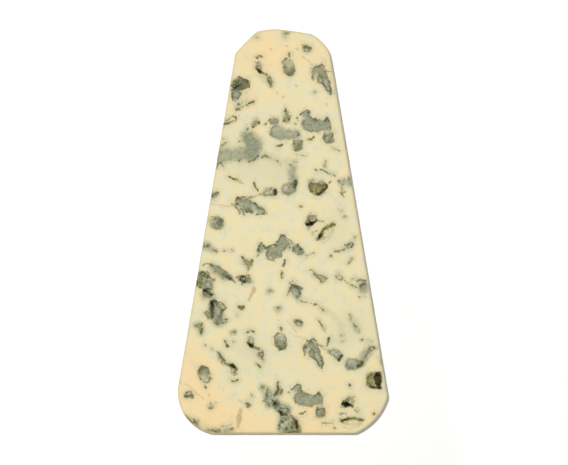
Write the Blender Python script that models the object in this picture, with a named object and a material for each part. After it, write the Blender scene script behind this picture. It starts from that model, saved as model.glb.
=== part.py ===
"""A wedge-shaped portion of vegan blue cheese, lying on its flat underside with a cut face up.

The wedge is one solid: a slab whose outline tapers to the narrow end, with one corner cut off
straight and three worn round. The mould pockets that the knife opened are hollows in its cut face and in its walls.
+Y runs to the narrow end, +Z is up, and the origin is the middle of the underside's box.
"""

import math
import random

import bmesh
import bpy
from mathutils import Matrix, Vector

MM = 0.001

# Driving sizes
THICKNESS = 30 * MM
EDGE_ROUNDING = 0.7 * MM
EDGE_SEGMENTS = 2
EDGE_ANGLE = math.radians(60)
ARC_STEP = 1.8 * MM

# Corners of the cut face in millimetres, clockwise from the narrow end's left shoulder. The last
# number is how far the stretch to the next corner bulges outwards at its middle.
CORNERS = [
    (-13.6, 50.6, 0.1),
    (-7.6, 56.7, 0.15),
    (-2.2, 57.5, 0.1),
    (8.2, 56.1, 0.7),
    (13.4, 50.4, 0.0),
    (29.8, -47.0, 1.6),
    (20.6, -57.4, 0.0),
    (-20.6, -57.4, 2.9),
    (-30.0, -45.0, 0.0),
]

# Each pocket holds one or more hollows, and each hollow is the reach of its overlapping round
# lumps: (x, y, radius, depth) in millimetres about the pocket's middle, the widest lump first.
POCKETS = {
    "teardrop": [[(0, -0.1, 1.8, 1.1), (0.3, -1.2, 1.0, 0.9), (-0.1, 1.2, 0.9, 0.5)]],
    "nip": [[(0.1, 0, 0.9, 0.7), (0.7, 0.1, 0.5, 0.5)]],
    "streak": [[(-0.1, 0, 0.7, 1.6), (-0.7, 0.5, 0.5, 0.9)], [(2.6, -2.6, 0.7, 0.6)]],
    "gash": [
        [(0.2, 0.9, 1.6, 1.8), (-1.9, 0.1, 1.0, 2.0), (1.6, 1.1, 1.2, 1.4), (-1.1, -1.7, 1.2, 0.9)],
    ],
    "beard": [
        [(0.3, -0.1, 1.2, 0.9), (-0.5, 1.6, 1.1, 0.8), (1.1, -1.8, 1.0, 0.8), (2.0, -3.4, 0.7, 0.7)],
    ],
    "cloud": [
        [(-0.6, 0, 2.0, 0.7), (-2.3, 0.3, 1.6, 0.6), (1.4, 0, 1.4, 0.6), (3, 0.4, 1.3, 0.6)],
        [(3.6, -4.0, 1.3, 0.8), (3.9, -3.2, 0.9, 0.6)],
    ],
    "plume": [[(0.1, -0.2, 1.6, 1.1), (-0.9, -0.6, 1.5, 0.9), (1.1, 0.9, 0.9, 1.1)]],
    "olive_hollow": [[(0.9, 0.3, 1.6, 2.4), (-1.4, 0.4, 1.3, 1.6), (0.2, -0.8, 1.3, 2.0)]],
    "seed": [[(0, 0, 0.9, 1.0), (-1.4, -0.2, 0.7, 0.7), (1.1, 0, 0.8, 1.5)]],
    "bowl": [[(0, 0, 1.8, 0.9), (0.5, -0.5, 1.5, 1.0)]],
    "leaf": [[(-1.2, 0.5, 1.5, 0.7), (-3.1, 1.1, 1.2, 0.6), (0.8, -0.3, 1.3, 0.7), (2.8, -1.0, 0.8, 0.6)]],
    "black_pit": [[(0.2, 0.9, 1.2, 1.2), (-0.4, -0.4, 1.0, 3.0)]],
    "crescent": [[(0.2, -0.6, 1.2, 1.1), (-0.9, -1.5, 0.9, 1.4), (1.4, 0.4, 1.0, 0.8)]],
    "centre": [
        [(-1.6, -1.3, 1.9, 0.6), (0, -0.5, 1.5, 0.7), (1.4, 1.3, 1.5, 0.6), (1.5, 2.8, 0.8, 0.5)],
        [(6.2, -0.2, 1.3, 0.9)],
    ],
    "thicket": [[(-0.9, 0.9, 1.7, 0.8), (0.7, -0.2, 1.7, 0.9)]],
    "knot": [[(0, -0.2, 1.3, 1.0), (0.8, 0.2, 0.8, 0.8)]],
    "trunk": [[(0, 0, 1.7, 0.8), (-0.3, 2.2, 1.0, 1.2), (0.4, -2.2, 1.5, 0.7)]],
    "claw": [[(0.2, 0.2, 1.4, 0.9), (0.7, -1.3, 0.8, 0.6)]],
}

# The pockets in the cut face, with the pocket's name, middle and turn in degrees
CUT_FACE = [
    ("teardrop", 1.8, 46.2, 0),
    ("nip", 6.7, 51.8, 0),
    ("streak", -6.4, 45.4, 0),
    ("gash", -12.0, 40.7, 0),
    ("beard", 11.0, 44.0, 0),
    ("cloud", 9.5, 30.0, 0),
    ("cloud", 0.4, 28.0, 0),
    ("plume", 2.2, 12.5, 0),
    ("olive_hollow", 10.0, 12.2, 0),
    ("seed", -3.2, 11.0, 0),
    ("bowl", -18.7, 2.3, 0),
    ("leaf", -9.2, 7.2, 0),
    ("black_pit", 8.0, 2.6, 0),
    ("crescent", 12.0, 0.0, 0),
    ("centre", -1.5, -5.2, 0),
    ("thicket", -22.0, -14.0, 0),
    ("knot", -21.0, -17.6, 0),
    ("trunk", -19.0, -22.5, 0),
    ("knot", -11.2, -13.5, 0),
    ("claw", 3.5, -17.0, 0),
    ("nip", 4.4, -26.0, 0),
    ("teardrop", -0.6, -31.7, 0),
    ("streak", -8.7, -32.4, 0),
    ("beard", 8.6, -33.9, 0),
    ("seed", 15.4, -35.4, -41),
    ("plume", 20.4, -38.0, -41),
    ("olive_hollow", 26.0, -42.5, -35),
    ("black_pit", 18.4, -48.5, -41),
    ("crescent", 19.4, -53.1, -41),
    ("cloud", 7.2, -47.9, 0),
    ("trunk", -3.2, -47.2, 195),
    ("thicket", 1.9, -54.4, 195),
    ("teardrop", -22.3, -40.3, 180),
    ("streak", -14.5, -38.6, 180),
    ("nip", -26.4, -46.9, 180),
]

# Pockets in the walls, which go by a rule: round the outline at uneven steps and heights
WALL_POCKETS = ["bowl", "teardrop", "nip", "leaf", "claw", "knot", "plume", "seed"]
WALL_SEED = 11
WALL_STEP = (8 * MM, 15 * MM)
WALL_MARGIN = 6 * MM

# How a hollow is cut: its rings as (share of the rim's reach, share of the depth there), under a
# mouth that stands clear of the surface
RINGS = [(0.93, 0.45), (0.62, 0.85)]
MOUTH_SHARE = 1.04
CUTTER_LIFT = 0.6 * MM
FACET = 0.95 * MM
FACETS = (8, 20)
FACET_JITTER = 0.25
RIM_UNEVENNESS = 0.1
RIM_SEED = 3
SHALLOWEST = 0.55

CREAM = (0.83, 0.74, 0.44, 1)


def clear_scene():
    for obj in list(bpy.data.objects):
        bpy.data.objects.remove(obj)


def arc(start, end, bulge):
    """Points from start up to, not including, end, on an arc whose middle stands out by bulge."""
    chord = end - start
    count = max(1, round(chord.length / ARC_STEP)) if bulge else 1
    outwards = Vector((-chord.y, chord.x)).normalized()
    # A parabola stays within a tenth of a millimetre of the arc at these bulges.
    return [
        start + chord * t + outwards * bulge * 4 * t * (1 - t)
        for t in (i / count for i in range(count))
    ]


def outline():
    """The cut face's outline, clockwise, centred on its own box."""
    points = []
    for (x, y, bulge), (next_x, next_y, _) in zip(CORNERS, CORNERS[1:] + CORNERS[:1]):
        points += arc(Vector((x, y)) * MM, Vector((next_x, next_y)) * MM, bulge * MM)
    lowest = Vector((min(p.x for p in points), min(p.y for p in points)))
    highest = Vector((max(p.x for p in points), max(p.y for p in points)))
    return [p - (lowest + highest) / 2 for p in points]


def walk(points, distance):
    """The place on the outline at a distance along it, and the direction out of the wall there."""
    for here, there in zip(points, points[1:] + points[:1]):
        step = there - here
        if distance <= step.length:
            place = here + step.normalized() * distance
            return place, Vector((-step.y, step.x, 0)).normalized()
        distance -= step.length
    return walk(points, distance)


def outline_length(points):
    return sum((b - a).length for a, b in zip(points, points[1:] + points[:1]))


def slab(points):
    mesh = bmesh.new()
    corners = [mesh.verts.new((p.x, p.y, 0)) for p in points]
    underside = mesh.faces.new(corners)
    grown = bmesh.ops.extrude_face_region(mesh, geom=[underside])
    top = [v for v in grown["geom"] if isinstance(v, bmesh.types.BMVert)]
    bmesh.ops.translate(mesh, verts=top, vec=(0, 0, THICKNESS))
    bmesh.ops.recalc_face_normals(mesh, faces=mesh.faces)
    data = bpy.data.meshes.new("cheese_wedge")
    mesh.to_mesh(data)
    mesh.free()
    wedge = bpy.data.objects.new("cheese_wedge", data)
    bpy.context.scene.collection.objects.link(wedge)
    return wedge


def facing(normal):
    """The turn that takes a pocket from the XY plane to a wall: its X level, its Z out of the wall."""
    if normal.z:
        return Matrix.Identity(4)
    level = Vector((0, 0, 1)).cross(normal)
    return Matrix((level, Vector((0, 0, 1)), normal)).transposed().to_4x4()


def reach(lumps, direction):
    """How far a hollow reaches from its first lump's middle in a direction."""
    furthest = 0
    for middle, radius, _ in lumps:
        offset = middle - lumps[0][0]
        along = offset.dot(direction)
        inside = along**2 - offset.length_squared + radius**2
        if inside > 0:
            furthest = max(furthest, along + math.sqrt(inside))
    return furthest


def depth_at(lumps, place):
    """The depth of the deepest lump under a place, and a share of the shallowest elsewhere."""
    deepest = SHALLOWEST * min(depth for _, _, depth in lumps)
    for middle, radius, depth in lumps:
        inside = 1 - (place - middle).length_squared / radius**2
        if inside > 0:
            deepest = max(deepest, depth * math.sqrt(inside))
    return deepest


def uneven_rim(lumps, chance):
    """The rim's points about the first lump's middle, at jittered directions and reaches."""
    across = sum(radius for _, radius, _ in lumps)
    facets = min(max(round(math.tau * across / FACET / 2), FACETS[0]), FACETS[1])
    rim = []
    for i in range(facets):
        angle = math.tau * (i + chance.uniform(-FACET_JITTER, FACET_JITTER)) / facets
        direction = Vector((math.cos(angle), math.sin(angle)))
        unevenness = chance.uniform(1 - RIM_UNEVENNESS, 1 + RIM_UNEVENNESS)
        rim.append(direction * reach(lumps, direction) * unevenness)
    return rim


def hollow_cutter(collection, lumps, frame, chance):
    """One closed bowl with an uneven rim. frame puts the pocket on its surface, Z pointing out."""
    lumps = [(Vector((x, y)) * MM, radius * MM, depth * MM) for x, y, radius, depth in lumps]
    rim = uneven_rim(lumps, chance)
    facets = len(rim)
    mesh = bmesh.new()
    middle = lumps[0][0]
    rings = [[mesh.verts.new((*(middle + point * MOUTH_SHARE), CUTTER_LIFT)) for point in rim]]
    for share, depth_share in RINGS:
        flat = [middle + point * share for point in rim]
        rings.append([mesh.verts.new((*p, -depth_share * depth_at(lumps, p))) for p in flat])
    for upper, lower in zip(rings, rings[1:]):
        for i in range(facets):
            j = (i + 1) % facets
            mesh.faces.new((upper[i], lower[i], lower[j], upper[j]))
    lowest = mesh.verts.new((middle.x, middle.y, -depth_at(lumps, middle)))
    for i in range(facets):
        mesh.faces.new((rings[-1][i], lowest, rings[-1][(i + 1) % facets]))
    mesh.faces.new(rings[0])
    bmesh.ops.recalc_face_normals(mesh, faces=mesh.faces)
    mesh.transform(frame)
    name = f"hollow_{len(collection.objects)}"
    data = bpy.data.meshes.new(name)
    mesh.to_mesh(data)
    mesh.free()
    cutter = bpy.data.objects.new(name, data)
    cutter.hide_render = True
    cutter.display_type = "WIRE"
    collection.objects.link(cutter)


def pocket(collection, name, middle, normal, turn, rim_chance):
    frame = Matrix.Translation(middle) @ facing(normal) @ Matrix.Rotation(turn, 4, "Z")
    for lumps in POCKETS[name]:
        hollow_cutter(collection, lumps, frame, rim_chance)


def cut_face_pockets(collection, rim_chance):
    for name, x, y, turn in CUT_FACE:
        middle = Vector((x * MM, y * MM, THICKNESS))
        pocket(collection, name, middle, Vector((0, 0, 1)), math.radians(turn), rim_chance)


def wall_pockets(collection, points, rim_chance):
    chance = random.Random(WALL_SEED)
    total = outline_length(points)
    distance = chance.uniform(*WALL_STEP)
    while distance < total - WALL_STEP[0]:
        place, normal = walk(points, distance)
        height = chance.uniform(WALL_MARGIN, THICKNESS - WALL_MARGIN)
        name = chance.choice(WALL_POCKETS)
        turn = chance.uniform(0, math.tau)
        pocket(collection, name, Vector((place.x, place.y, height)), normal, turn, rim_chance)
        distance += chance.uniform(*WALL_STEP)


def cheese_material():
    material = bpy.data.materials.new("cheese")
    material.use_nodes = True
    shader = material.node_tree.nodes["Principled BSDF"]
    shader.inputs["Base Color"].default_value = CREAM
    shader.inputs["Roughness"].default_value = 0.45
    shader.inputs["Metallic"].default_value = 0
    return material


def main():
    clear_scene()
    points = outline()
    wedge = slab(points)
    wedge.data.materials.append(cheese_material())
    edge = wedge.modifiers.new("soft edges", "BEVEL")
    edge.width = EDGE_ROUNDING
    edge.segments = EDGE_SEGMENTS
    edge.limit_method = "ANGLE"
    edge.angle_limit = EDGE_ANGLE
    pockets = bpy.data.collections.new("pocket_cutters")
    bpy.context.scene.collection.children.link(pockets)
    rim_chance = random.Random(RIM_SEED)
    cut_face_pockets(pockets, rim_chance)
    wall_pockets(pockets, points, rim_chance)
    opened = wedge.modifiers.new("mould pockets", "BOOLEAN")
    opened.operation = "DIFFERENCE"
    opened.operand_type = "COLLECTION"
    opened.collection = pockets


main()
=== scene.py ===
# %% [markdown]
# # A wedge of vegan blue cheese
# This lesson dresses a plain solid of a cheese wedge so that it looks like the cut cheese itself.
# Real blue cheese gets its pattern from the inside: mould grows in cracks and bubbles of a pale
# paste, and the knife then opens some of those bubbles. So the lesson makes three things, in this
# order: the mould marks, a finely divided skin of the wedge that they are pressed into, and one
# material that paints and roughens the skin from them.

# %% Load the frame
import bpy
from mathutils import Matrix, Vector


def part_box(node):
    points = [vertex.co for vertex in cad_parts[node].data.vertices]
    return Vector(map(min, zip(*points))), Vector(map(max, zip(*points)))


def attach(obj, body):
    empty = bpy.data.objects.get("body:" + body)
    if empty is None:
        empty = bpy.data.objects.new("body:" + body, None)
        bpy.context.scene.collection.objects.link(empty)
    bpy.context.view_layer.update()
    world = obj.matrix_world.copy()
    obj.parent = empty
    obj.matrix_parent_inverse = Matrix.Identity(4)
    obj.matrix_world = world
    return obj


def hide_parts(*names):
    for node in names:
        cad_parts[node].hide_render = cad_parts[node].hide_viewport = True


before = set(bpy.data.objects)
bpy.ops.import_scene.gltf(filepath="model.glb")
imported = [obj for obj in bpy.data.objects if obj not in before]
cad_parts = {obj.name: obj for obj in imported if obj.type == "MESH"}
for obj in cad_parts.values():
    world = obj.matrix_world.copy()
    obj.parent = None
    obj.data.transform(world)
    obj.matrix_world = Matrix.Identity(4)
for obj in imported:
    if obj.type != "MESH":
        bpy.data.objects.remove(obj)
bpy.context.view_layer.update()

# %% [markdown]
# ## Tools of the lesson
# bpy and bmesh are Blender's own modules. numpy works on all the skin's points at once, which
# keeps the marks quick. Everything below is worked out in millimetres, the size that one thinks in
# at a cheese counter, and turned into metres only when the mesh is made.

# %% Modules and units
import math
import random

import bmesh
import bpy
import numpy as np
from mathutils import Vector, noise
from mathutils.geometry import delaunay_2d_cdt

MM = 0.001
LOW, HIGH = (np.array(corner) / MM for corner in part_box("cheese_wedge"))
THICKNESS = HIGH[2] - LOW[2]
print("thickness", round(THICKNESS, 1), "mm")

# %% [markdown]
# ## The camera
# The cheese is seen from straight above, as on a scanner. A long lens from well above keeps the
# walls hidden under the cut face, as they are in the picture. The picture is 568 by 465 pixels, the
# wedge takes 405.5 of its rows, and its middle lies a pixel or so off the picture's middle.

# %% Camera
PICTURE_WIDTH_PX = 568
WEDGE_LENGTH_PX = 405.5
WEDGE_LENGTH = 115.0
CAMERA_X_PX, CAMERA_Y_PX = 1.4, -1.3
LENS, SENSOR = 135.0, 36.0

mm_per_px = WEDGE_LENGTH / WEDGE_LENGTH_PX
camera_height = LENS / SENSOR * PICTURE_WIDTH_PX * mm_per_px * MM
camera = bpy.data.objects.new("camera", bpy.data.cameras.new("camera"))
camera.data.lens, camera.data.sensor_width = LENS, SENSOR
camera.location = (
    CAMERA_X_PX * mm_per_px * MM, CAMERA_Y_PX * mm_per_px * MM, HIGH[2] * MM + camera_height
)
bpy.context.scene.collection.objects.link(camera)
bpy.context.scene.camera = camera
bpy.context.scene.view_settings.view_transform = "Standard"
print("the camera is", round(camera_height, 3), "m above the cut face")

# %% [markdown]
# ## The outline of the wedge
# The portion tapers to one end. One shoulder was cut off straight, and the other corners are worn
# round. Nine corners are enough, because each stretch between two corners is either straight or a
# shallow arc whose middle stands out by a stated bulge. The outline is then walked at even steps
# and smoothed a little, so that no corner is sharper than soft cheese can hold.

# %% Outline
CORNERS = [
    (-13.6, 50.6, 0.1), (-7.6, 56.7, 0.15), (-2.2, 57.5, 0.1), (8.2, 56.1, 0.7), (13.4, 50.4, 0),
    (29.8, -47.0, 1.6), (20.6, -57.4, 0), (-20.6, -57.4, 2.9), (-30.0, -45.0, 0),
]
ARC_STEP = 1.8
RING_STEP = 0.36


def arc(start, end, bulge):
    """Points from start up to, not including, end, on an arc whose middle stands out by bulge."""
    start, end = np.array(start), np.array(end)
    chord = end - start
    length = np.hypot(*chord)
    count = max(1, round(length / ARC_STEP)) if bulge else 1
    outwards = np.array([-chord[1], chord[0]]) / length
    return [start + chord * t + outwards * bulge * 4 * t * (1 - t) for t in np.arange(count) / count]


def evenly(points, step):
    """The closed line through the points, walked at even steps."""
    closed = np.vstack([points, points[:1]])
    travelled = np.r_[0, np.cumsum(np.hypot(*np.diff(closed, axis=0).T))]
    stops = np.arange(round(travelled[-1] / step)) * step
    return np.column_stack([np.interp(stops, travelled, closed[:, axis]) for axis in (0, 1)])


corner_points = np.array([
    point
    for here, there in zip(CORNERS, CORNERS[1:] + CORNERS[:1])
    for point in arc(here[:2], there[:2], here[2])
])
middle = (LOW + HIGH)[:2] / 2
corner_points += middle - (corner_points.min(0) + corner_points.max(0)) / 2
ring = evenly(corner_points, RING_STEP)
ring = (np.roll(ring, 1, 0) + ring + np.roll(ring, -1, 0)) / 3
ring += middle - (ring.min(0) + ring.max(0)) / 2
along = np.roll(ring, -1, 0) - np.roll(ring, 1, 0)
ring_out = np.column_stack([-along[:, 1], along[:, 0]]) / np.hypot(*along.T)[:, None]
ROUND = len(ring) * RING_STEP
print("the outline is", round(ROUND), "mm round, in", len(ring), "steps")

# %% [markdown]
# ## One strip for the walls
# A label peeled off a jar is flat, and so is the wall of the cheese once it is unrolled. A place on
# it is then two numbers: how far round the outline it is, and how far down it is from the cut face,
# counted over the small rounding of the upper edge, down the wall and round the lower edge. The
# function below rolls such places up again, and says which way is out of the cheese there.

# %% Rolling the wall up
EDGE_ROUNDING = 0.7
EDGE_ARC = EDGE_ROUNDING * math.pi / 2
STRAIGHT = THICKNESS - 2 * EDGE_ROUNDING
DOWN = 2 * EDGE_ARC + STRAIGHT


def rolled(places):
    """Points and outward directions of places (round, down) on the unrolled wall."""
    step = places[:, 0] / RING_STEP
    before = np.floor(step).astype(int) % len(ring)
    share = (step - np.floor(step))[:, None]
    after = (before + 1) % len(ring)
    on_ring = ring[before] * (1 - share) + ring[after] * share
    out = ring_out[before] * (1 - share) + ring_out[after] * share
    out /= np.hypot(*out.T)[:, None]
    down = places[:, 1]
    lean = np.clip(down / EDGE_ROUNDING, 0, math.pi / 2)
    tuck = np.clip((down - EDGE_ARC - STRAIGHT) / EDGE_ROUNDING, 0, math.pi / 2)
    inset = EDGE_ROUNDING * (1 - np.sin(lean) + 1 - np.cos(tuck))
    drop = EDGE_ROUNDING * (1 - np.cos(lean) + np.sin(tuck)) + np.clip(down - EDGE_ARC, 0, STRAIGHT)
    points = np.column_stack([on_ring - out * inset[:, None], THICKNESS - drop])
    level = np.sin(lean) * np.cos(tuck)
    return points, np.column_stack([out * level[:, None], np.cos(lean) - np.sin(tuck)])


print("the unrolled wall is", round(DOWN, 1), "mm high")

# %% [markdown]
# ## What a mark is made of
# A mould mark isn't one stain. It has a grey-green body, dark threads along its edge, paler paste
# showing through it, and often a soft haze round it. So each mark is written in layers:
# - body: crisp grey-green mould, and cloud: the same with soft edges, lying just under the surface
# - shade: painted shade, a soft darkening on the lower and right sides of marks and bubbles that is
#   partly darker mould; thread: a dark line or dot; and pit: painted shade, nearly black, deep in the
#   opened bubbles over dark mould
# - olive and tan: older mould and stained paste; rust: painted shade in the brown of old mould on
#   the lower and right walls of opened bubbles; and pale: paste showing through
# - haze: a faint grey-green breath round a mark
# - hollow: paste that is missing, where the knife opened a bubble, with a depth
#
# Each layer holds chains of round dabs (x, y, radius) in millimetres about the mark's middle, and a
# chain joins its dabs as a brush would. It could be an image instead, but chains stay sharp at any
# size, can be turned and used again, and also run over an edge and down the wall.

# %% Marks of the narrow end
MARKS = {
    # The teardrop's pale top and its shade at the lower right are painted light and painted shade on the
    # walls of its bubble.
    "teardrop": {
        "body": [[(0, -0.5, 1.35), (0.2, -0.9, 1.25)]],
        "cloud": [[(0, -0.1, 1.4)], [(-1.2, 1.2, 0.3)]],
        "pale": [[(-0.1, 2, 0.6), (0, 1.3, 0.8), (0.2, 0.7, 0.5)]],
        "shade": [[(1.3, -0.4, 0.4), (0.9, -1.3, 0.6), (-0.4, -1.6, 0.5)], [(-1.2, -0.2, 0.3)]],
        "thread": [
            [(-1.7, 0.2, 0.1), (-1.6, 1.4, 0.13), (-0.9, 2.7, 0.3), (-0.3, 2.8, 0.18), (0.6, 2.2, 0.13)],
            [(0.9, 1.9, 0.12), (1.4, 1.1, 0.12), (1.6, 0.4, 0.12)], [(-1.5, 2, 0.18), (-1.9, 1.6, 0.12)],
            [(0, 4.1, 0.34), (0.2, 3.3, 0.2)], [(0.2, -2, 0.16)],
        ],
        "haze": [[(0, 1.3, 1.2)], [(0, 3.8, 0.9)]],
        "hollow": [[(0, -0.1, 1.8, 1.1)], [(0.3, -1.2, 1.0, 0.9)], [(-0.1, 1.2, 0.9, 0.5)]],
    },
    "nip": {
        "cloud": [[(-0.3, 0, 0.7), (0.5, -0.2, 0.7)]],
        "thread": [
            [(-1, 0.9, 0.2), (-0.4, 0.7, 0.22)], [(-0.9, 0.3, 0.26), (0.1, 0.5, 0.26), (1.1, 0.1, 0.34)],
            [(-0.5, -0.7, 0.2)], [(0.6, -0.6, 0.2)],
        ],
        "pale": [[(0, -0.3, 0.3)]],
        "haze": [[(0, 0.2, 1.3)]],
        "hollow": [[(0.1, 0, 0.9, 0.7)], [(0.7, 0.1, 0.5, 0.5)]],
    },
    "streak": {
        "thread": [
            [(-1.4, 1, 0.12), (-1, 2.3, 0.12), (-0.2, 2.6, 0.12), (0.4, 1.8, 0.11), (0.4, 0.6, 0.12)],
            [(-1, 1.1, 0.1), (-0.6, 2, 0.1), (0, 1.7, 0.1)],
            [(-1.2, 0.9, 0.3), (-0.2, 0, 0.55), (0.5, -0.5, 0.4), (1.1, -0.7, 0.24), (1.8, -1, 0.3)],
            [(2, -1.9, 0.14), (2.6, -3, 0.14), (3.2, -4.5, 0.2)], [(2.9, -1.6, 0.12), (3.3, -3, 0.14)],
        ],
        "pit": [[(-0.6, 0.4, 0.25), (0, -0.2, 0.4)]],
        "body": [[(-0.6, 1.4, 0.5)]],
        "cloud": [[(2.2, -1.4, 0.5), (2.7, -2.8, 0.6), (3.3, -4.2, 0.35)]],
        "olive": [[(2.4, -2.2, 0.3), (3, -3.6, 0.26)]],
        "pale": [[(-0.4, 2, 0.26)]],
        "haze": [[(0.8, -1.2, 1), (2.6, -3, 1.2)], [(-0.6, 1.4, 1.3)]],
        "hollow": [[(-0.1, 0, 0.7, 1.6)], [(-0.7, 0.5, 0.5, 0.9)], [(2.6, -2.6, 0.7, 0.6)]],
    },
    "dabs": {
        "olive": [[(-0.9, -0.1, 0.3), (-0.1, 0.3, 0.28), (0.6, 0.1, 0.32)]],
        "thread": [[(0.7, 0, 0.22), (0.9, -0.2, 0.16)], [(-0.9, -0.2, 0.14), (-0.4, -0.3, 0.12)]],
        "haze": [[(-0.6, 0, 0.9), (0.6, 0, 0.8)]],
    },
    "soft_dot": {
        "cloud": [[(-0.1, -0.1, 0.6), (0.3, 0, 0.55)]],
        "olive": [[(-0.1, 0, 0.4), (0.3, 0, 0.35)]],
        "haze": [[(0, -0.4, 1)]],
        "tan": [[(0.2, -3.6, 0.3)]],
        "thread": [[(0.1, -1.2, 0.1)]],
    },
    "gash": {
        "body": [
            [(-1.5, 1.3, 0.7), (-0.4, 2.2, 0.7), (1.6, 1.5, 0.7), (2, 0.4, 0.6), (0.6, 0.2, 0.9)],
            [(-2.1, 0.4, 0.6), (-0.4, 0.9, 1)], [(-1.2, -1, 1.3), (-1.4, -2.6, 1)], [(-0.3, -0.6, 0.8)],
        ],
        "olive": [[(-1.9, 1.2, 0.5), (-1.2, 2, 0.5), (-0.4, 2.5, 0.3)], [(0, -1.6, 0.5)]],
        "shade": [
            [(-2.3, -0.1, 0.5), (-1.2, 0.2, 0.7), (0, 0.9, 0.9), (1.4, 1.2, 0.9)],
            [(-1.6, 0, 0.6), (0, 0.2, 0.7), (1.6, 0.5, 0.5)],
        ],
        "pit": [[(-2.2, 0, 0.16), (-1.5, 0.1, 0.2), (-0.9, 0.3, 0.14)]],
        "thread": [
            [(0.6, 2.3, 0.16), (1.8, 2.1, 0.22), (2.3, 0.9, 0.14), (2.6, 0, 0.18)],
            [(-2.9, -0.1, 0.3), (-1.6, 0, 0.36), (-0.8, 0.4, 0.3), (0.2, 1.1, 0.2)],
            [(-0.2, 2.9, 0.14), (0.6, 2.5, 0.14)], [(-2.8, 0.7, 0.1), (-2.2, 1.7, 0.1)],
            [(-2.3, -1.4, 0.1), (-2.1, -3.3, 0.16)], [(-0.2, -2, 0.1), (-0.6, -3, 0.1)],
        ],
        "pale": [[(1.7, -1.4, 0.5)], [(-1, -1.6, 0.36)]],
        "haze": [
            [(0.8, -2.2, 1.6), (-0.6, -4.4, 1.7)], [(1.5, 2.9, 0.4), (3.8, 3.2, 0.4)], [(2, -3.4, 1.2)],
        ],
        "hollow": [
            [(0.2, 0.9, 1.6, 1.8)], [(-1.9, 0.1, 1.0, 2.0)], [(1.6, 1.1, 1.2, 1.4)],
            [(-1.1, -1.7, 1.2, 0.9)],
        ],
    },
    "smile": {
        "olive": [
            [(-2, -1.2, 0.42), (-1.3, -1.1, 0.34)], [(-0.6, -0.6, 0.2), (1.2, 0.3, 0.24)],
            [(1.5, 0.5, 0.4), (2.4, 1, 0.46), (2.8, 1.4, 0.2)],
        ],
        "cloud": [[(-1.7, -1, 0.4), (-1.2, 0.3, 0.3)]],
        "thread": [
            [(-2, -1.3, 0.24), (-1.3, -1.2, 0.2)], [(-0.4, -0.5, 0.1), (0.9, 0.2, 0.12)],
            [(1.5, 0.5, 0.22), (2.4, 0.9, 0.24), (2.9, 1.4, 0.12)],
            [(-1.7, 0.3, 0.16), (-1.1, 0.5, 0.12)], [(-0.4, 0.8, 0.14)], [(0.6, 1.1, 0.12)],
        ],
        "haze": [[(-1.4, 0.4, 1.6), (0.6, 0.8, 1.4)], [(2.4, 1, 0.9)], [(-1.6, 1.8, 1.2)]],
    },
    "beard": {
        "body": [
            [(-0.5, 2, 0.8), (0.3, 0.6, 1.1), (0.9, -1.2, 0.95), (1.7, -2.8, 0.75), (2.2, -4.2, 0.5)],
            [(-2.2, 1.6, 0.45), (-2.4, -0.2, 0.35), (-2.2, -1, 0.25)],
        ],
        "thread": [
            [(-1.6, 2.6, 0.3), (-0.6, 2.8, 0.28), (0.1, 3.3, 0.32), (0.8, 2.6, 0.22)],
            [(0, 3.2, 0.2), (0.3, 3.8, 0.14)],
            [(1, 2.1, 0.12), (1.7, 0, 0.16), (2.4, -2, 0.2), (2.8, -3.6, 0.28), (2.6, -5.1, 0.3)],
            [(-1, -0.2, 0.14), (-0.7, -1.5, 0.26), (0.6, -2.4, 0.26), (1.4, -3.4, 0.12),
             (2, -4.6, 0.14)],
            [(-1.8, 2.4, 0.12), (-2.5, 1, 0.14), (-2.6, -0.6, 0.14), (-2.1, -1.3, 0.14)],
            [(-1.7, 1.4, 0.1), (-1.9, -0.5, 0.1)], [(1, 2, 0.1), (2, 1.3, 0.12), (3.9, 1, 0.09)],
            [(-0.4, 0.6, 0.1), (0.5, -0.8, 0.1)],
        ],
        "pale": [
            [(1.1, -1.1, 0.3), (1.5, -2.6, 0.32), (2, -3.8, 0.2)],
            [(-1.6, 0.4, 0.28), (-1.5, -1.2, 0.24)],
        ],
        "haze": [[(-2, 1, 1.2), (0, 0, 1.6), (1.6, -3, 1.1)]],
        "hollow": [
            [(0.3, -0.1, 1.2, 0.9)], [(-0.5, 1.6, 1.1, 0.8)], [(1.1, -1.8, 1.0, 0.8)],
            [(2.0, -3.4, 0.7, 0.7)],
        ],
    },
    "outlined": {
        "thread": [
            [(-1.9, -0.9, 0.3), (-0.9, -0.7, 0.3), (0.3, -0.3, 0.15), (1.5, -0.2, 0.2),
             (1.7, 0.7, 0.16), (1, 1.4, 0.18), (0.5, 1, 0.14), (-1.2, 0, 0.14)],
        ],
        "olive": [[(-1.8, -0.8, 0.42), (-0.4, -0.6, 0.36)], [(1.3, 1, 0.3)]],
        "haze": [[(-0.6, 0, 0.9), (1.1, 0.6, 0.9)]],
    },
    "wisp": {
        "cloud": [[(-0.6, -0.4, 0.6), (0.3, 0.5, 0.6)]],
        "olive": [[(-0.8, -0.7, 0.3), (-0.1, -0.1, 0.5), (0.3, 0.6, 0.5)], [(0.9, 0.3, 0.36)]],
        "haze": [[(0, 1, 1), (0, -0.4, 1)]],
        "thread": [[(-0.9, -1, 0.14), (-0.3, -0.7, 0.1)], [(1, 0.4, 0.2)]],
    },
    "spindle": {
        "cloud": [[(0.1, 0.6, 0.5), (0.3, -0.8, 0.9), (0.3, -1.4, 0.8)]],
        "olive": [[(0, 1.6, 0.3), (0.2, 0.4, 0.5), (0.6, -0.8, 0.55)], [(-0.2, -1.4, 0.5)]],
        "thread": [
            [(0, 1.8, 0.18), (0, 0.9, 0.12)], [(-0.5, -1, 0.14), (-0.7, -1.7, 0.24)],
            [(1.2, -0.4, 0.24), (0.9, -1.4, 0.16)], [(0.2, -1.6, 0.14)],
        ],
        "haze": [[(0, 1, 0.9), (0.2, -1, 1.4)]],
    },
}
print("marks of the narrow end:", ", ".join(MARKS))

# %% [markdown]
# ## Marks of the middle
# The middle holds the large grey patches, which are slices through wide cracks, and a few round
# bubbles that the knife opened. Dark threads sit mostly on the upper side of a patch.

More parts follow.
